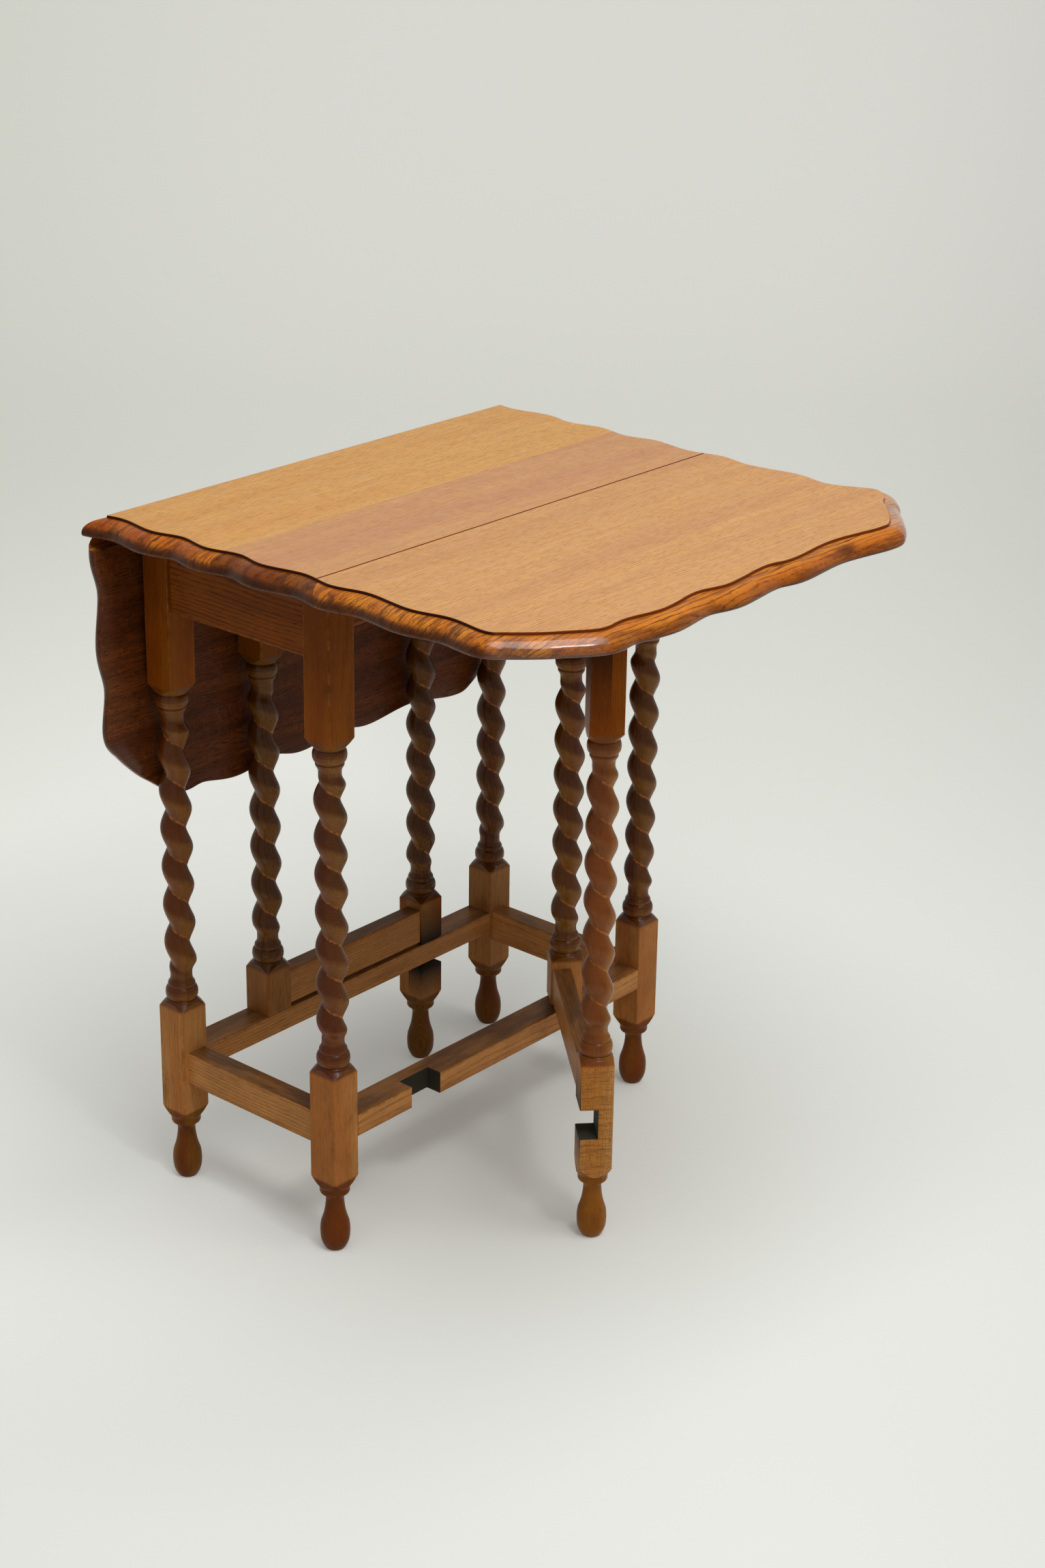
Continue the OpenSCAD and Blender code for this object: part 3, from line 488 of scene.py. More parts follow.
def new_piece(name, points, faces, material, masks=None):
    """A piece from points in millimetres, with its masks for the finish."""
    mesh = bpy.data.meshes.new(name)
    mesh.from_pydata((np.asarray(points, float) * MM).tolist(), [], faces)
    for label, values in (masks or {}).items():
        mesh.attributes.new(label, "FLOAT", "POINT").data.foreach_set("value", np.asarray(values, np.float32))
    mesh.materials.append(material)
    piece = bpy.data.objects.new(name, mesh)
    bpy.context.scene.collection.objects.link(piece)
    return piece


def box_cutter(low, high, turn=0.0, centre=(0, 0)):
    """A box in millimetres, turned about a centre, to cut a piece with."""
    c, s = math.cos(turn), math.sin(turn)
    points = [(centre[0] + c * x - s * y, centre[1] + s * x + c * y, z)
              for x in (low[0], high[0]) for y in (low[1], high[1]) for z in (low[2], high[2])]
    faces = [(0, 1, 3, 2), (4, 6, 7, 5), (0, 4, 5, 1), (2, 3, 7, 6), (0, 2, 6, 4), (1, 5, 7, 3)]
    return points, faces


def cut_away(piece, cutters):
    """Cuts shapes, each a list of points and of faces, out of a piece."""
    points, faces = [], []
    for own_points, own_faces in cutters:
        faces += [tuple(i + len(points) for i in face) for face in own_faces]
        points += own_points
    tool = new_piece("cutter", points, faces, piece.data.materials[0])
    saw = piece.modifiers.new("saw", "BOOLEAN")
    saw.object, saw.operation, saw.solver = tool, "DIFFERENCE", "EXACT"
    bpy.context.view_layer.update()
    mesh = bpy.data.meshes.new_from_object(piece.evaluated_get(bpy.context.evaluated_depsgraph_get()))
    piece.modifiers.remove(saw)
    piece.data = mesh
    bpy.data.objects.remove(tool)


def set_grain(piece, along, across, pith, slide=0.0):
    """Lays the wood through a piece: its grain's direction, one direction across it,
    the place of the pith, in millimetres from the origin, and how many metres the
    figure is slid along, so that no two pieces are alike."""
    along, across = Vector(along).normalized(), Vector(across).normalized()
    third = along.cross(across)
    mesh = piece.data
    place = np.zeros(len(mesh.vertices) * 3, np.float32)
    mesh.vertices.foreach_get("co", place)
    away = place.reshape(-1, 3) - np.array(pith) * MM
    wood = np.stack([away @ np.array(along) + slide, away @ np.array(across), away @ np.array(third)], 1)
    kept = mesh.attributes.new("wood", "FLOAT_VECTOR", "POINT")
    kept.data.foreach_set("vector", wood.astype(np.float32).ravel())


def face_mask(piece, label, rule):
    """A mask set face by face from each face's middle and direction."""
    mesh = piece.data
    values = [1.0 if rule(face.center / MM, face.normal) else 0.0 for face in mesh.polygons]
    mesh.attributes.new(label, "FLOAT", "FACE").data.foreach_set("value", values)


def finish_piece(piece, body, node, sharp=32):
    """Shades a piece, crisp where its faces meet at over sharp degrees, and fixes it
    in place of its node."""
    mesh = piece.data
    mesh.name = piece.name
    mesh.polygons.foreach_set("use_smooth", [True] * len(mesh.polygons))
    mesh.set_sharp_from_angle(angle=math.radians(sharp))
    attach(piece, body)
    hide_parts(node)


def middle(node):
    low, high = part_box(node)
    return (low.x + high.x) / 2 / MM, (low.y + high.y) / 2 / MM


def in_gate(side):
    """The pivot of a gate, and how far it is turned from lying along the right side."""
    pivot, outer = middle(f"gate_{side}_pivot_post"), middle(f"gate_{side}_outer_leg")
    return pivot, math.atan2(outer[0] - pivot[0], pivot[1] - outer[1])


# Which side of each post the strand stands on half way up, its share of the
# usual pitch, where the pith of its square lay, and how light its wood is
POSTS = {
    "leg_near_left": (54, 1.05, (38, 52), 1.05), "leg_near_right": (207, 0.97, (-64, 30), 1.0),
    "leg_far_left": (6, 1.0, (44, -58), 0.74), "leg_far_right": (277, 1.01, (-30, -66), 0.96),
    "gate_left_pivot_post": (82, 1.04, (60, 26), 0.74),
    "gate_left_outer_leg": (334, 0.98, (-48, 50), 0.7),
    "gate_right_pivot_post": (133.6, 0.97, (26, 62), 1.0),
    "gate_right_outer_leg": (163.7, 0.98, (46, 40), 1.2)}
# The outer legs' laps: over the stretcher, and at the head over the apron
LAP_Z = (118.5, 151.5)
LAP_X = 2.0
HEAD_X = 3.0
HEAD_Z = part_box("gate_right_pivot_post")[1].z / MM
# How far the cutters reach past a post's sides, and a height above its head
CLEAR, TALL = 40.0, 800.0

for order, (node, (side, share, pith, tone)) in enumerate(POSTS.items()):
    low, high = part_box(node)
    body = "frame" if node.startswith("leg") else node[:node.index("_", 5)]
    centre = middle(node)
    facing = 0.0 if body == "frame" else in_gate(body[5:])[1]
    rows = post_blank(low.z / MM, high.z / MM, low.z < 0.01, side, share)
    x, y, z, hollow, arris = rows.reshape(-1, 5).T
    c, s = math.cos(facing), math.sin(facing)
    points = np.stack([centre[0] + c * x - s * y, centre[1] + s * x + c * y, z], 1)
    bare = 0.85 if node == "gate_right_outer_leg" else 0.0
    masks = {"hollow": hollow, "arris": arris, "cleft": 0 * x, "bare": 0 * x + bare, "tone": 0 * x + tone}
    post = new_piece(node + "_turned", points, ring_faces(len(rows), STEPS), turned_oak, masks)
    grown(post, barley_twist, axis=(centre[0] * MM, centre[1] * MM, 0.0), pitch=PITCH * share * MM,
          side=math.radians(side) + facing, lower_end=LOW_TWIST * MM, upper_end=HIGH_TWIST * MM,
          neck=NECK * MM, finish=turned_oak)
    outer = node.endswith("outer_leg")
    if outer:
        cut_away(post, [box_cutter((-CLEAR, -CLEAR, LAP_Z[0]), (LAP_X, CLEAR, LAP_Z[1]), facing, centre),
                        box_cutter((-CLEAR, -CLEAR, HEAD_Z), (HEAD_X, CLEAR, TALL), facing, centre)])
    inward, outward = Vector((-c, -s, 0)), Vector((s, -c, 0))

    def in_lap(place, normal):
        if not outer or not LAP_Z[0] - 0.1 < place.z < LAP_Z[1] + 0.1:
            return False
        depth = Vector((place.x - centre[0], place.y - centre[1], 0)).dot(inward)
        return abs(normal.z) > 0.9 or (depth < 0.1 - LAP_X and normal.dot(inward) > 0.9)

    def on_saw_face(place, normal):
        return outer and normal.dot(outward) > 0.98 and LOW_BLOCK[0] - 12 < place.z < LOW_BLOCK[1] + 1

    face_mask(post, "notch", in_lap)
    face_mask(post, "raw", on_saw_face)
    set_grain(post, (0, 0, 1), (c, s, 0), (centre[0] + pith[0], centre[1] + pith[1], 0), order * 1.3)
    finish_piece(post, body, node)


# ---------------------------------------------------------------------------
# Stretchers and aprons. Planed oak rails, dowelled to the blocks of the legs:
# upright ones at the ends, flat stretchers along the sides, each side rail with
# a lap cut into its outer face where the gate's outer leg beds when it is shut.
# ---------------------------------------------------------------------------
def bar(name, start, along, across, sections):
    """A rail with rounded arrises. sections are (distance, across0, across1, low, high),
    and two at one distance make a square shoulder."""
    along, across = Vector(along), Vector(across)
    points, arris = [], []
    for place, v0, v1, z0, z1 in sections:
        ring = []
        for v, z, a in ((v1, z0, -90), (v1, z1, 0), (v0, z1, 90), (v0, z0, 180)):
            cv, cz = (ARRIS if v == v0 else -ARRIS), (ARRIS if z == z0 else -ARRIS)
            for angle in np.radians(np.arange(5) * 22.5 + a):
                ring.append((v + cv + ARRIS * math.cos(angle), z + cz + ARRIS * math.sin(angle)))
        full = []
        for i, (v, z) in enumerate(ring):
            full.append((v, z, 1.0))
            # The flat beside an arris starts a little way off, where the wear ends
            if i % 5 == 4:
                nv, nz = ring[(i + 1) % 20]
                length = math.hypot(nv - v, nz - z)
                reach = min(2.2, length * 0.4) / length
                full.append((v + (nv - v) * reach, z + (nz - z) * reach, 0.0))
                full.append((nv - (nv - v) * reach, nz - (nz - z) * reach, 0.0))
        for v, z, mark in full:
            p = Vector(start) + along * place + across * v
            points.append((p.x, p.y, z))
            arris.append(mark)
    faces = ring_faces(len(sections), len(full))
    piece = new_piece(name, points, faces, rail_oak, {"arris": arris})
    mesh = bmesh.new()
    mesh.from_mesh(piece.data)
    bmesh.ops.remove_doubles(mesh, verts=mesh.verts, dist=0.01 * MM)
    bmesh.ops.recalc_face_normals(mesh, faces=mesh.faces)
    mesh.to_mesh(piece.data)
    mesh.free()
    return piece


rail_oak, t = new_material("rail_oak")
oak = use_group(t, oak_figure, wood=read(t, "wood"), ring_width=3.4, late=rgb(204, 140, 78),
                early=rgb(162, 102, 52), pore=rgb(112, 68, 34), warm=rgb(178, 116, 60), ring_depth=0.5,
                pore_depth=0.35, ray_depth=0.3)
# The aprons, high under the top, are stained and also darkened with painted shade, their figure darker too
stained_and_shaded = fade(t, part(t, put(t, "ShaderNodeTexCoord").outputs["Object"], 2), 0.4, 0.6)
body = tint(t, stained_and_shaded, oak["Color"], rgb(180, 136, 52), "MULTIPLY")
# Painted shade darkens the upper faces, which the top keeps from the light, and the wood is mottled
upward = part(t, put(t, "ShaderNodeNewGeometry").outputs["Normal"], 2)
mottle = noise(t, in_millimetres(t, read(t, "wood")), (0.012, 0.05, 0.05), 3.0, 0.6, 51.0)
figure = maths(t, "MAXIMUM", times(t, oak["Rings"], fade(t, mottle, 0.35, 0.6, 0.0, 0.5)),
               times(t, oak["Pores"], 0.55))
body = tint(t, times(t, stained_and_shaded, figure), body, rgb(58, 28, 6))
painted_top_shade = times(t, fade(t, upward, 0.5, 0.9), fade(t, mottle, 0.35, 0.6, 0.35, 0.65))
body = tint(t, fade(t, mottle, 0.5, 0.75, 0.0, 0.4), body, rgb(96, 52, 22))
body = tint(t, painted_top_shade, body, rgb(70, 46, 30))
aged = use_group(t, patina, base=body, grime=rgb(46, 22, 8), rubbed=rgb(160, 96, 42),
                 hollow=read(t, "notch"), arris=read(t, "arris"), place=read(t, "wood"))
colour = tint(t, read(t, "notch"), aged["Color"], rgb(54, 50, 42))
rough = maths(t, "MULTIPLY_ADD", read(t, "notch"), 0.3, aged["Roughness"])
finish_shader(rail_oak, colour, rough, oak["Height"], specular=0.08)

# From a gate's pivot to its outer leg, and the laps where the legs bed
GATE_SPAN = 239.0
LAP_HALF = 21.5
LAP_DEPTH = {"stretcher": 18.0, "apron": 11.75}
# Each rail: the way it runs, and where the pith of its board lay from its middle
FRAME_RAILS = {
    "apron_end_near": ("x", (-60, 40)), "apron_end_far": ("x", (50, -44)),
    "stretcher_end_near": ("x", (-38, -46)), "stretcher_end_far": ("x", (46, 40)),
    "apron_side_left": ("y", (58, 30)), "apron_side_right": ("y", (-46, -52)),
    "stretcher_side_left": ("y", (36, 50)), "stretcher_side_right": ("y", (-70, 48))}
for order, (node, (run, pith)) in enumerate(FRAME_RAILS.items()):
    low, high = [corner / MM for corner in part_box(node)]
    size, centre = high - low, (low + high) / 2
    right = node.endswith("right")
    if run == "x":
        start, along, across = (low.x, low.y, 0), (1, 0, 0), (0, 1, 0)
        length, width, lap = size.x, size.y, None
        pith_place = (0, centre.y + pith[0], centre.z + pith[1])
    else:
        start, along, across = (low.x, high.y, 0), (0, -1, 0), (1, 0, 0)
        length, width = size.y, size.x
        gate, reach = ("right", -GATE_SPAN) if right else ("left", GATE_SPAN)
        outer = high.y - middle(f"gate_{gate}_pivot_post")[1] - reach
        lap = (outer - LAP_HALF, outer + LAP_HALF)
        pith_place = (centre.x + pith[0], 0, centre.z + pith[1])
    whole = (0, width, low.z, high.z)
    sections = [(0, *whole), (length, *whole)]
    if lap:
        depth = LAP_DEPTH[node.split("_")[0]]
        kept = (0, width - depth, low.z, high.z) if right else (depth, width, low.z, high.z)
        sections[1:1] = [(lap[0], *whole), (lap[0], *kept), (lap[1], *kept), (lap[1], *whole)]
    rail = bar(node + "_planed", start, along, across, sections)

    def in_lap(place, normal):
        if lap is None or not lap[0] - 0.2 < high.y - place.y < lap[1] + 0.2:
            return False
        side = place.x - low.x
        floor = normal.x > 0.7 and side < width - 2 if right else normal.x < -0.7 and side > 2
        return abs(normal.y) > 0.7 or floor

    face_mask(rail, "notch", in_lap)
    set_grain(rail, tuple(map(abs, along)), across, pith_place, order * 0.9)
    finish_piece(rail, "frame", node)


# ---------------------------------------------------------------------------
# Gate rails. Two oak rails dowelled between each gate's pivot post and its outer
# leg, set towards the inner face; the right gate stands open under its leaf.
# ---------------------------------------------------------------------------
# The rails' two faces, across the gate from the middle of its posts
GATE_RAIL = (-15.0, 5.0)
for side in ("left", "right"):
    pivot, facing = in_gate(side)
    c, s = math.cos(facing), math.sin(facing)
    for level_name, pith in (("top", (44, 38)), ("bottom", (-40, 52))):
        node = f"gate_{side}_{level_name}_rail"
        low, high = [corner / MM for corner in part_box(node)]
        ends = [(end, *GATE_RAIL, low.z, high.z) for end in (BLOCK, GATE_SPAN - BLOCK)]
        rail = bar(node + "_planed", (*pivot, 0), (s, -c, 0), (c, s, 0), ends)
        face_mask(rail, "notch", lambda place, normal: False)
        pith_place = (pivot[0] + pith[0] * c, pivot[1] + pith[0] * s, high.z + pith[1])
        set_grain(rail, (s, -c, 0), (c, s, 0), pith_place, 2.0 + len(side) * 0.3)
        finish_piece(rail, "gate_" + side, node)


# ---------------------------------------------------------------------------
# Top and leaves. Oak boards with a scalloped edge, sunk by a small square step
# to a thumbnail moulding; the sides of the fixed top are worked to a round that
# the hollow of each leaf turns over. The flats are pale and waxed, the edge dark.
# ---------------------------------------------------------------------------
# Millimetres: heights of the top's faces and the hinge pins, half the fixed top
# between the joints, half the length, a leaf, its canted corners, the scallops'
# depth, the moulding's width, step and nose, and the rule joint's round, clearance
# and eased arris
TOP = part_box("top_board_wide")[1].z / MM
UNDER = TOP - 20
PIN_Z = UNDER + 3
LEFT_PINS, RIGHT_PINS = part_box("hinge_pins_left"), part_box("hinge_pins_right")
CENTRE = ((LEFT_PINS[0].x + RIGHT_PINS[1].x) / 2 / MM, (LEFT_PINS[0].y + LEFT_PINS[1].y) / 2 / MM)
JOINT = 141.5
HALF_LENGTH = 287.0
LEAF = 275.0
CANT = 75.0
WAVE = 3.5
MOULD = 17.0
STEP = 3.0
NOSE = 4.4
ROUND = 14.0
GAP = 0.4
EASED = 0.25
# Points of one loop along an end of the top, along a joint and round a leaf
END_POINTS, JOINT_POINTS, LEAF_POINTS = 150, 40, 460

# Scallops: share of the way along, and how far out; canted corners as cut by hand
TOP_WAVES = [(0, 1), (0.27, -1), (0.53, 1), (0.86, -1)]
LEAF_WAVES = [(0.078, 1), (0.224, -1), (0.424, 1), (0.581, -1)]
LONG_WAVES = [(-0.63, -1), (-0.47, 1), (-0.28, -1), (-0.14, 1), (0.08, -1), (0.21, 0.6), (0.45, -1)]
NEAR_CORNER = [(-0.95, -0.03), (-0.74, 0.09), (-0.45, 0.37), (-0.28, 0.59), (-0.07, 0.88), (-0.02, 1.08)]
FAR_CORNER = [(-0.95, -0.17), (-0.69, -0.01), (-0.52, 0.24), (-0.28, 0.5), (0.02, 0.9), (0.08, 1.2)]


def end_edge(corner):
    """Knots of an end edge from the middle of the table outwards."""
    knots = [(share * JOINT, HALF_LENGTH + WAVE * wave) for share, wave in TOP_WAVES]
    knots += [(JOINT + share * LEAF, HALF_LENGTH + WAVE * wave) for share, wave in LEAF_WAVES]
    return knots + [(JOINT + LEAF + a * CANT, HALF_LENGTH - b * CANT) for a, b in corner]


def flowing(knots, steps=12):
    """A smooth curve through the inner knots: places and outward directions."""
    knots, places, normals = np.array(knots, float), [], []
    for i in range(1, len(knots) - 2):
        a, b, c, d = knots[i - 1:i + 3]
        for j in range(steps + (i == len(knots) - 3)):
            u = j / steps
            places.append(0.5 * (2 * b + (c - a) * u + (2 * a - 5 * b + 4 * c - d) * u * u
                                 + (3 * b - a - 3 * c + d) * u ** 3))
            g = 0.5 * ((c - a) + 2 * (2 * a - 5 * b + 4 * c - d) * u + 3 * (3 * b - a - 3 * c + d) * u * u)
            normals.append(np.array([g[1], -g[0]]) / np.hypot(*g))
    return np.array(places), np.array(normals)


# Down the edge: distance outside the step line, height, and how far each level is
# moulding, quirk and underside; on the lower half of the moulding the underside's
# share is painted shade, more towards the bottom
EDGE = [(-3, TOP, 0, 0, 0), (-0.9, TOP, 0, 0.15, 0), (-0.35, TOP - 0.1, 0, 0.5, 0),
        (-0.05, TOP - 0.5, 0.3, 0.9, 0), (0, TOP - 1.4, 0.6, 1, 0), (0.1, TOP - 2.75, 1, 1, 0)]
for angle in (84, 78, 71, 63, 55, 47, 38, 29, 19, 9, -2):
    lift = math.sin(math.radians(angle))
    height = UNDER + NOSE + (TOP - STEP - UNDER - NOSE if lift > 0 else NOSE) * lift
    # The lower levels take some of the underside's colour: painted shade
    quirk, under = 0.2 if angle == 84 else 0, max(0, 45 - angle) / 100
    EDGE.append((MOULD * math.cos(math.radians(angle)), height, 1, quirk, under))
EDGE += [(MOULD * 0.998, UNDER + 3.4, 1, 0, 0.45), (MOULD * 0.985, UNDER + 2.2, 1, 0, 0.8),
         (MOULD * 0.955, UNDER + 1.1, 1, 0, 1), (MOULD * 0.91, UNDER + 0.35, 0.9, 0, 1),
         (MOULD * 0.84, UNDER, 0.6, 0, 1), (0, UNDER, 0, 0, 1), (-3, UNDER, 0, 0, 1)]


def eased(z):
    """How far the arris of a joint's lip is taken off at a height."""
    return EASED if z > TOP - 0.05 else 0


def arc_x(radius, z):
    return JOINT + math.sqrt(max(0, radius ** 2 - (z - PIN_Z) ** 2))


def round_x(z, inset):
    """The side of the fixed top at a height: a square lip, then a quarter round."""
    lip = JOINT - GAP
    return (lip - eased(z) if z > TOP - STEP - 0.01 else max(lip, arc_x(ROUND, z))) - inset


def hollow_x(z, inset):
    """The inner side of a leaf at a height, hollowed to clear the round."""
    lip, reach = JOINT + GAP, ROUND + GAP
    if z > PIN_Z + reach - 0.01:
        return lip + eased(z) + inset
    return (JOINT + reach if z < PIN_Z else max(lip, arc_x(reach, z))) + inset


def board_piece(name, loops, material):
    """A board from its loops, top inner loop first, closed above and below."""
    size = len(loops[0][0])
    points = np.concatenate([np.array(ring) for ring, *_ in loops]) + np.array([*CENTRE, 0])
    masks = {label: np.concatenate([np.broadcast_to(loop[i], size) for loop in loops])
             for i, label in enumerate(("moulding", "quirk", "under", "handled"), 1)}
    faces = [face[::-1] for face in ring_faces(len(loops), size)]
    return new_piece(name, points, faces, material, masks)


def joint_side(x, y0, y1):
    """The straight side along a joint, its points crowded at both ends."""
    share = (1 - np.cos(np.linspace(0, math.pi, JOINT_POINTS))) / 2
    return np.stack([np.full(JOINT_POINTS, x), y0 + (y1 - y0) * share], 1)


def at_height(ring, z):
    return np.column_stack([ring, np.full(len(ring), z)])


def fixed_board(name, left, right, material):
    """A board of the fixed top; left and right give its sides at a height and inset."""
    # The whole end, from two knots beyond one joint to two beyond the other
    near_knots = end_edge(NEAR_CORNER)[:6]
    full = [(-x, y) for x, y in near_knots[:0:-1]] + near_knots
    near_p, near_n = flowing([(x, -y) for x, y in full])
    far_p, far_n = flowing(full[::-1])
    loops = []
    for reach, z, moulding, quirk, under in EDGE:
        inset = max(0.0, -reach)
        x0, x1 = left(z, inset), right(z, inset)
        xs = np.linspace(x0, x1, END_POINTS)
        near, far = near_p + near_n * reach, (far_p + far_n * reach)[::-1]
        y0, y1 = np.interp(xs, *near.T), np.interp(xs, *far.T)
        ring = np.concatenate([np.stack([xs, y0], 1)[:-1], joint_side(x1, y0[-1], y1[-1])[:-1],
                               np.stack([xs, y1], 1)[:0:-1], joint_side(x0, y1[0], y0[0])[:-1]])
        # The sides that meet a leaf are darker in the gap than the glued one
        at_left, at_right = [min(1, 2.2 * quirk) if abs(x) > JOINT / 2 else quirk for x in (x0, x1)]
        gap = np.repeat([quirk, at_right, quirk, at_left], [END_POINTS - 1, JOINT_POINTS - 1] * 2)
        loops.append((at_height(ring, z), moulding, gap, under, 0.0))
    return board_piece(name, loops, material)


def leaf_board(name, material):
    """A leaf, drawn raised on the right side."""
    # Round the leaf, from two knots inside the joint to two inside it again
    near = [(x, -y) for x, y in end_edge(NEAR_CORNER)[2:]]
    long_edge = [(JOINT + LEAF + WAVE * wave, HALF_LENGTH * share) for share, wave in LONG_WAVES]
    places, normals = flowing(near + long_edge + end_edge(FAR_CORNER)[:1:-1])
    half, params = len(places) // 2, np.arange(len(places))
    loops = []
    for reach, z, moulding, quirk, under in EDGE:
        x0 = hollow_x(z, max(0.0, -reach))
        line = places + normals * reach
        start = np.interp(x0, line[:half // 2, 0], params[:half // 2])
        end = np.interp(-x0, -line[-half // 2:, 0], params[-half // 2:])
        along = np.linspace(start, end, LEAF_POINTS)
        edge = np.stack([np.interp(along, params, axis) for axis in line.T], 1)
        side = joint_side(x0, edge[-1, 1], edge[0, 1])[1:-1]
        corner = np.interp(along, params, 2 * np.abs(normals[:, 0] * normals[:, 1]))
        gap = np.concatenate([np.full(len(edge), quirk), np.full(len(side), min(1, 2.2 * quirk))])
        handled = np.concatenate([corner, np.zeros(len(side))])
        loops.append((at_height(np.concatenate([edge, side]), z), moulding, gap, under, handled))
    return board_piece(name, loops, material)


def board_finish(name, ring_width, ring_depth, late, early, pore, warm, painted_edge_shade=(255, 255, 255)):
    """Waxed board: pale on its flats, dark in the quirk, deep orange-brown with
    near-black rings on the moulding and walnut brown underneath. Painted shade
    darkens the lower half of the moulding, the ends, and on some boards all of it."""
    material, t = new_material(name)
    wood = read(t, "wood")
    place = in_millimetres(t, wood)
    quirk = fade(t, read(t, "quirk"), 0.3, 0.95)
    pale = use_group(t, oak_figure, wood=wood, ring_width=ring_width, wander=0.5, late=rgb(*late),
                     early=rgb(*early), pore=rgb(*pore), warm=rgb(*warm), ring_depth=ring_depth,
                     pore_depth=0.45, ray_depth=0.2)
    deep = use_group(t, oak_figure, wood=wood, ring_width=ring_width * 1.5, spring=0.24, wander=2.6,
                     late=rgb(212, 128, 36), early=rgb(56, 24, 4), pore=rgb(60, 26, 4),
                     warm=rgb(186, 98, 18), ring_depth=0.85, pore_depth=0.6, ray_depth=0.2)
    below = use_group(t, oak_figure, wood=wood, ring_width=ring_width * 0.8, spring=0.7, wander=2.0,
                      late=rgb(118, 60, 21), early=rgb(92, 44, 12), pore=rgb(30, 13, 4),
                      warm=rgb(96, 44, 14), ring_depth=0.5, pore_depth=0.75, ray_depth=0.4)
    stain_and_shade = noise(t, place, (0.012, 0.05, 0.05), 3.0, 0.6, 31.0)
    band = noise(t, place, (0.01, 0.11, 0.11), 3.0, 0.65, 41.0)
    edge = tint(t, fade(t, band, 0.48, 0.62, 0.0, 0.6), deep["Color"], rgb(108, 48, 7))
    edge = tint(t, fade(t, stain_and_shade, 0.5, 0.74, 0.0, 0.85), edge, rgb(48, 21, 5))
    # A factor given for each board darkens its whole moulding: painted shade on the fixed top's ends
    edge = tint(t, 1.0, edge, rgb(*painted_edge_shade), "MULTIPLY")
    edge = tint(t, quirk, edge, rgb(116, 50, 3))
    # End grain drank more of the stain; this darkening of the ends is also painted shade
    end_grain_and_shade = maths(t, "ABSOLUTE", part(t, put(t, "ShaderNodeNewGeometry").outputs["Normal"], 1))
    edge = tint(t, fade(t, end_grain_and_shade, 0.7, 0.97), edge, rgb(130, 118, 104), "MULTIPLY")
    colour = tint(t, maths(t, "MAXIMUM", read(t, "moulding"), quirk), pale["Color"], edge)
    # The underside is cut near the rays, which cross the grain as short pale wisps
    wisp = maths(t, "SUBTRACT", noise(t, place, (0.22, 0.05, 0.05), 3.0, 0.7, 61.0), 0.5)
    wisp = fade(t, maths(t, "ABSOLUTE", wisp), 0.004, 0.02, 1.0, 0.0)
    wisp = times(t, wisp, fade(t, stain_and_shade, 0.42, 0.56, 0.0, 0.7))
    walnut = tint(t, wisp, below["Color"], rgb(140, 80, 38))
    walnut = tint(t, fade(t, band, 0.42, 0.62, 0.0, 0.45), walnut, rgb(62, 30, 11))
    # The underside's walnut colour, also laid on the lower half of the moulding as painted shade
    colour = tint(t, read(t, "under"), colour, walnut)
    rough = fade(t, noise(t, place, (0.05, 0.05, 0.05), 4.0, 0.6, 2.0), 0.3, 0.7, 0.36, 0.5)
    rough = maths(t, "MULTIPLY_ADD", read(t, "moulding"), -0.2, rough)
    # Hands have polished the canted corners, where a leaf is lifted
    polish = times(t, maths(t, "SUBTRACT", read(t, "moulding"), read(t, "quirk")),
                   fade(t, read(t, "handled"), 0.5, 1.0, 0.14, 1.0))
    finish_shader(material, colour, rough, pale["Height"], 0.1, polish, satin=0.15, specular=0.12)
    return material


# The fixed top's boards have their mouldings darkened as painted shade, the narrow board most
wide_oak = board_finish("golden_oak", 3.7, 0.6, (218, 163, 96), (188, 130, 66), (126, 74, 34),
                        (212, 152, 86), painted_edge_shade=(240, 222, 188))
narrow_oak = board_finish("tan_oak", 2.2, 0.4, (206, 152, 104), (190, 134, 86), (146, 92, 54),
                          (198, 142, 102), painted_edge_shade=(176, 160, 144))
leaf_oak = board_finish("leaf_oak", 3.1, 0.6, (214, 160, 104), (184, 126, 72), (124, 72, 36), (204, 148, 98))


def glue_line(z, inset):
    """Where the two boards of the fixed top meet, right of the middle."""
    return 20.0


wide = fixed_board("top_board_wide_worked", lambda z, inset: -round_x(z, inset), glue_line, wide_oak)
narrow = fixed_board("top_board_narrow_worked", glue_line, round_x, narrow_oak)
leaf_right = leaf_board("leaf_right_board_worked", leaf_oak)
leaf_left = leaf_board("leaf_left_board_worked", leaf_oak)

# Where the hinges are let in: their places along the joint, half their length,
# the reach and depth of their plates' beds, and the slot for the knuckles
HINGES = (CENTRE[1] - 185.0, CENTRE[1] + 185.0)
HINGE_HALF = 18.4
TOP_PLATE, LEAF_PLATE = 30.0, 44.0
PLATE_BED = 1.8
ROUND_BED = 2.3
KNUCKLE = 3.5


def bed_cutter(x0, x1, y, depth):
    """A shallow bed in the underside, between two places across the table."""
    return box_cutter((min(x0, x1), y - HINGE_HALF, UNDER - 1), (max(x0, x1), y + HINGE_HALF, UNDER + depth))


def slot_cutter(x, y):
    """A round-topped slot for a hinge's knuckles."""
    outline = [(x - KNUCKLE, UNDER - 1), (x + KNUCKLE, UNDER - 1)]
    outline += [(x + KNUCKLE * math.cos(a), PIN_Z + KNUCKLE * math.sin(a))
                for a in np.linspace(0, math.pi, 13)]
    points = [(a, end, b) for end in (y - HINGE_HALF, y + HINGE_HALF) for a, b in outline]
    return points, [face[::-1] for face in ring_faces(2, len(outline))]


def stain_below(piece):
    """Carries the stain of the underside into what was let into it."""
    mesh = piece.data
    places, under = np.zeros(len(mesh.vertices) * 3, np.float32), np.zeros(len(mesh.vertices), np.float32)
    mesh.vertices.foreach_get("co", places)
    mesh.attributes["under"].data.foreach_get("value", under)
    under[places[2::3] < (UNDER + ROUND_BED + 0.1) * MM] = 1
    mesh.attributes["under"].data.foreach_set("value", under)


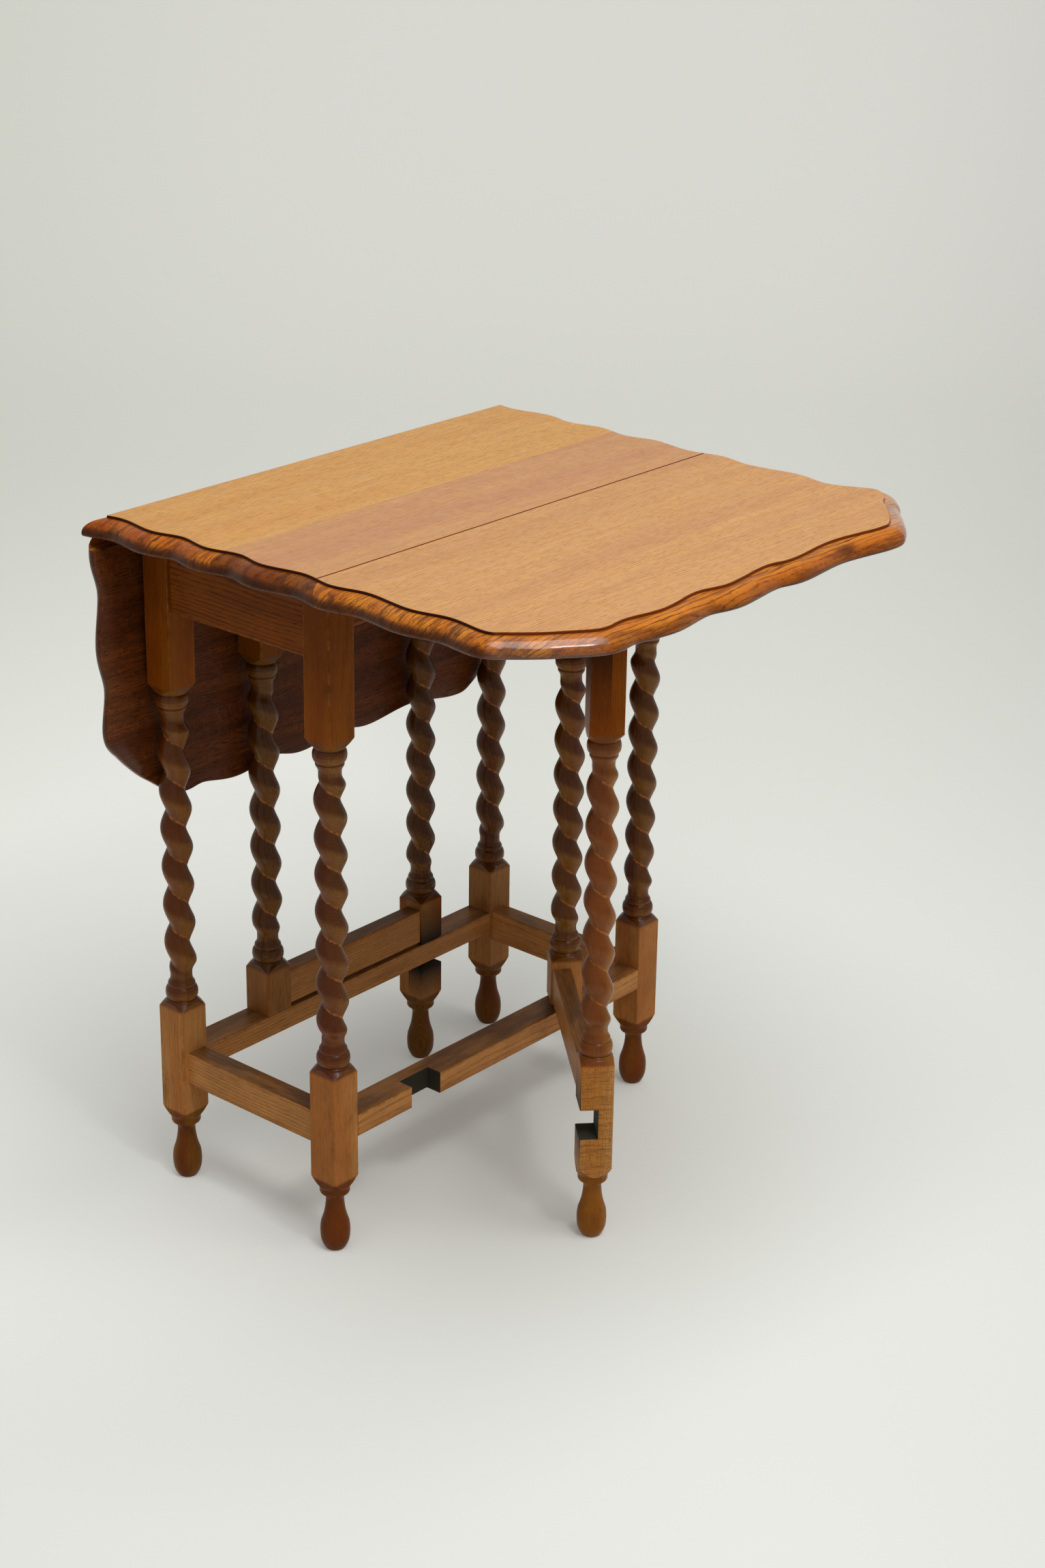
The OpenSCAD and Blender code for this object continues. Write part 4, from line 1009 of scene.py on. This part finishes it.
for board, side in ((wide, -1), (narrow, 1)):
    x = CENTRE[0] + side * JOINT
    cut_away(board, [bed_cutter(x - side * TOP_PLATE, x, y, PLATE_BED) for y in HINGES])
    cut_away(board, [slot_cutter(x, y) for y in HINGES])
    cut_away(board, [bed_cutter(x - side * 0.5, x + side * (ROUND + 1), y, ROUND_BED) for y in HINGES])
for leaf in (leaf_right, leaf_left):
    x = CENTRE[0] + JOINT
    cut_away(leaf, [bed_cutter(x, x + LEAF_PLATE, y, PLATE_BED) for y in HINGES])

# Each board: its body, node and slot, and where its pith lay from the middle
BOARDS = ((wide, "frame", "top_board_wide", "oak_gold", 520, 150, 0.3),
          (narrow, "frame", "top_board_narrow", "oak_tan", 420, 90, 1.7),
          (leaf_right, "leaf_right", "leaf_right_board", "oak_leaf", 640, 160, 2.9),
          (leaf_left, "leaf_left", "leaf_left_board", "oak_leaf", 560, 190, 5.1))
for board, body, node, slot, out_pith, deep_pith, slide in BOARDS:
    stain_below(board)
    set_grain(board, (0, 1, 0), (1, 0, 0), (CENTRE[0] + out_pith, 0, UNDER - deep_pith), slide)

# The left leaf hangs: mirrored, then turned down about its hinge pins
LEAN = math.radians(2.25)
hang = (Matrix.Translation(Vector((CENTRE[0] - JOINT, 0, PIN_Z)) * MM)
        @ Matrix.Rotation(-math.pi / 2 - LEAN, 4, "Y")
        @ Matrix.Translation(Vector((JOINT, 0, -PIN_Z)) * MM)
        @ Matrix.Scale(-1, 4, (1, 0, 0)) @ Matrix.Translation(Vector((-CENTRE[0], 0, 0)) * MM))
leaf_left.data.transform(hang)
leaf_left.data.flip_normals()
for board, body, node, slot, *_ in BOARDS:
    finish_piece(board, body, node, 40)


# ---------------------------------------------------------------------------
# Hinges, pins and screws. Back-flap hinges of black iron let into the underside,
# each on one pin, and slotted iron wood screws; the gates turn on iron pins.
# ---------------------------------------------------------------------------
black_iron, t = new_material("black_iron")
place = in_millimetres(t, put(t, "ShaderNodeTexCoord").outputs["Object"])
pitted = noise(t, place, (0.6, 0.6, 0.6), 4.0, 0.7, 5.0)
rust = fade(t, noise(t, place, (0.12, 0.12, 0.12), 3.0, 0.6, 12.0), 0.5, 0.68)
colour = tint(t, rust, rgb(62, 58, 54), rgb(84, 52, 34))
finish_shader(black_iron, colour, fade(t, pitted, 0.3, 0.7, 0.38, 0.66), pitted, depth=0.25)
t.links.new(fade(t, rust, 0.0, 1.0, 0.9, 0.35), t.nodes["Principled BSDF"].inputs["Metallic"])


def dress(material, *words):
    """Gives a material to every node with one of these words in its name."""
    for node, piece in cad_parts.items():
        if any(word in node for word in words):
            for slot in piece.material_slots:
                slot.material = material


dress(black_iron, "hinge", "screws", "pins")


# ---------------------------------------------------------------------------
# Dowels and screw blocks. Beech dowels hold the rails to the legs, and small
# beech blocks glued inside the aprons take the screws that hold the top down.
# ---------------------------------------------------------------------------
beech, t = new_material("beech")
along = put(t, "ShaderNodeTexCoord").outputs["Object"]
plain = use_group(t, oak_figure, wood=along, ring_width=2.0, wander=2.0, late=rgb(178, 134, 88),
                  early=rgb(158, 112, 70), pore=rgb(110, 74, 44), warm=rgb(168, 120, 78), ring_depth=0.5,
                  pore_depth=0.25, ray_depth=0.5)
aged = use_group(t, patina, base=plain["Color"], grime=rgb(84, 56, 34), rubbed=rgb(190, 148, 100),
                 place=along)
finish_shader(beech, aged["Color"], maths(t, "ADD", aged["Roughness"], 0.2), plain["Height"], depth=0.2)
dress(beech, "dowels", "screw_blocks")


# ---------------------------------------------------------------------------
# Studio. A seamless pale floor that rises behind the table, a broad soft light
# above to the right, a small lamp in front that polishes the edge, and the camera.
# ---------------------------------------------------------------------------
def seen_plainly(tree):
    """Whether a ray comes from the camera, or off or through something bright."""
    rays = put(tree, "ShaderNodeLightPath").outputs
    return maths(tree, "MAXIMUM", rays["Is Camera Ray"],
                 maths(tree, "MAXIMUM", rays["Is Glossy Ray"], rays["Is Transmission Ray"]))


def reach_along(tree, place, direction):
    return put(tree, "ShaderNodeVectorMath", place, direction, operation="DOT_PRODUCT").outputs[1]


# The camera's angles: round the table, above the floor, and its roll
AZIMUTH, ELEVATION, ROLL = math.radians(40.48), math.radians(22.32), math.radians(0.90)
paper, t = new_material("paper_backdrop")
ground = put(t, "ShaderNodeTexCoord").outputs["Object"]
cloud = put(t, "ShaderNodeTexNoise", ground, None, 0.6, 2.0, 0.5).outputs[0]
# Metres from the table: away from the camera, where height counts too, and aside
# to its right
away = reach_along(t, ground, (-0.649, 0.761, 0.35))
aside = reach_along(t, ground, (0.761, 0.649, 0.0))
colour = tint(t, fade(t, cloud, 0.3, 0.7), rgb(238, 240, 235), rgb(234, 236, 230))
sheet = tint(t, fade(t, away, 0.0, 3.0), rgb(240, 243, 236), rgb(246, 247, 236))
# Left of the table the paper is painted a little darker and yellower, a painted shade
sheet = tint(t, fade(t, aside, -0.4, -1.8), sheet, rgb(238, 240, 228), "MULTIPLY")
# Further off to the right the paper falls away from the light
wing = maths(t, "DIVIDE", aside, maths(t, "ADD", away, 2.6))
wing = times(t, fade(t, wing, 0.08, 0.34, 0.0, 0.2), fade(t, away, -0.5, 2.5, 0.4, 1.0))
sheet = tint(t, wing, sheet, rgb(0, 0, 0))
plainly = seen_plainly(t)
# Beside and behind the table the paper glows with light from the room
beside = times(t, fade(t, aside, 0.0, -0.4, 0.15, 1.0), fade(t, away, -0.55, -0.2))
behind = fade(t, away, -0.3, 4.6, 0.1, 0.31)
glow = maths(t, "MULTIPLY_ADD", beside, fade(t, away, 2.8, 0.6, 0.0, 0.12), behind)
glow = times(t, times(t, glow, plainly), maths(t, "SUBTRACT", 1.0, wing))
shader = t.nodes["Principled BSDF"].inputs
t.links.new(tint(t, plainly, colour, sheet), shader["Base Color"])
t.links.new(tint(t, glow, rgb(0, 0, 0), rgb(255, 255, 255)), shader["Emission Color"])
t.links.new(fade(t, cloud, 0.3, 0.7, 0.8, 0.9), shader["Roughness"])
shader["Emission Strength"].default_value = 1.0
shader["Specular IOR Level"].default_value = 0.2

# The sheet in metres: flat to FLAT behind the table, a bend, then a wall
HALF_WIDTH, FLAT, BEND, WALL = 7.0, 3.2, 1.6, 6.0
view_dir = Vector((-math.sin(AZIMUTH), math.cos(AZIMUTH)))
side_dir = Vector((view_dir.y, -view_dir.x))
profile = [(-5.0, 0.0), (FLAT, 0.0)]
profile += [(FLAT + BEND * math.sin(a), BEND - BEND * math.cos(a)) for a in np.linspace(0.1, math.pi / 2, 14)]
profile += [(FLAT + BEND, WALL)]
points = []
for distance, height in profile:
    for width in (-HALF_WIDTH, HALF_WIDTH):
        points.append((*(view_dir * distance + side_dir * width), height))
faces = [(2 * k, 2 * k + 1, 2 * k + 3, 2 * k + 2) for k in range(len(profile) - 1)]
floor = new_piece("floor_sweep", np.array(points) / MM, faces, paper)
floor.data.polygons.foreach_set("use_smooth", [True] * len(faces))


def soft_light(name, power, size, place, aim):
    lamp = bpy.data.lights.new(name, "AREA")
    lamp.energy, lamp.size = power, size
    light = bpy.data.objects.new(name, lamp)
    light.location = place
    light.rotation_euler = (Vector(aim) - Vector(place)).to_track_quat("-Z", "Y").to_euler()
    bpy.context.scene.collection.objects.link(light)


soft_light("ceiling_light", 60, 2.4, (0.85, -0.1, 3.1), (0, 0, 0.5))
soft_light("front_lamp", 9, 0.36, (1.75, -0.55, 2.75), (0.3, -0.2, 0.7))

world = bpy.data.worlds.new("studio")
bpy.context.scene.world = world
world.use_nodes = True
t = world.node_tree
room = tint(t, seen_plainly(t), (0.24, 0.2376, 0.228, 1.0), rgb(208, 209, 201))
t.links.new(room, t.nodes["Background"].inputs["Color"])
bpy.context.scene.view_settings.view_transform = "Standard"

# The camera looks down at AIM from DISTANCE metres, tipped a little to one side
AIM, DISTANCE = Vector((0.2713, -0.3184, 0.6138)), 2.4325
back = Vector((*(-math.cos(ELEVATION) * view_dir), math.sin(ELEVATION)))
level_right = Vector((0, 0, 1)).cross(back).normalized()
level_up = back.cross(level_right)
right = level_right * math.cos(ROLL) + level_up * math.sin(ROLL)
up = level_up * math.cos(ROLL) - level_right * math.sin(ROLL)
lens = bpy.data.cameras.new("camera")
lens.lens = 65.56
camera = bpy.data.objects.new("camera", lens)
stance = Matrix((right, up, back)).transposed().to_4x4()
camera.matrix_world = Matrix.Translation(AIM + back * DISTANCE) @ stance
bpy.context.scene.collection.objects.link(camera)
bpy.context.scene.camera = camera
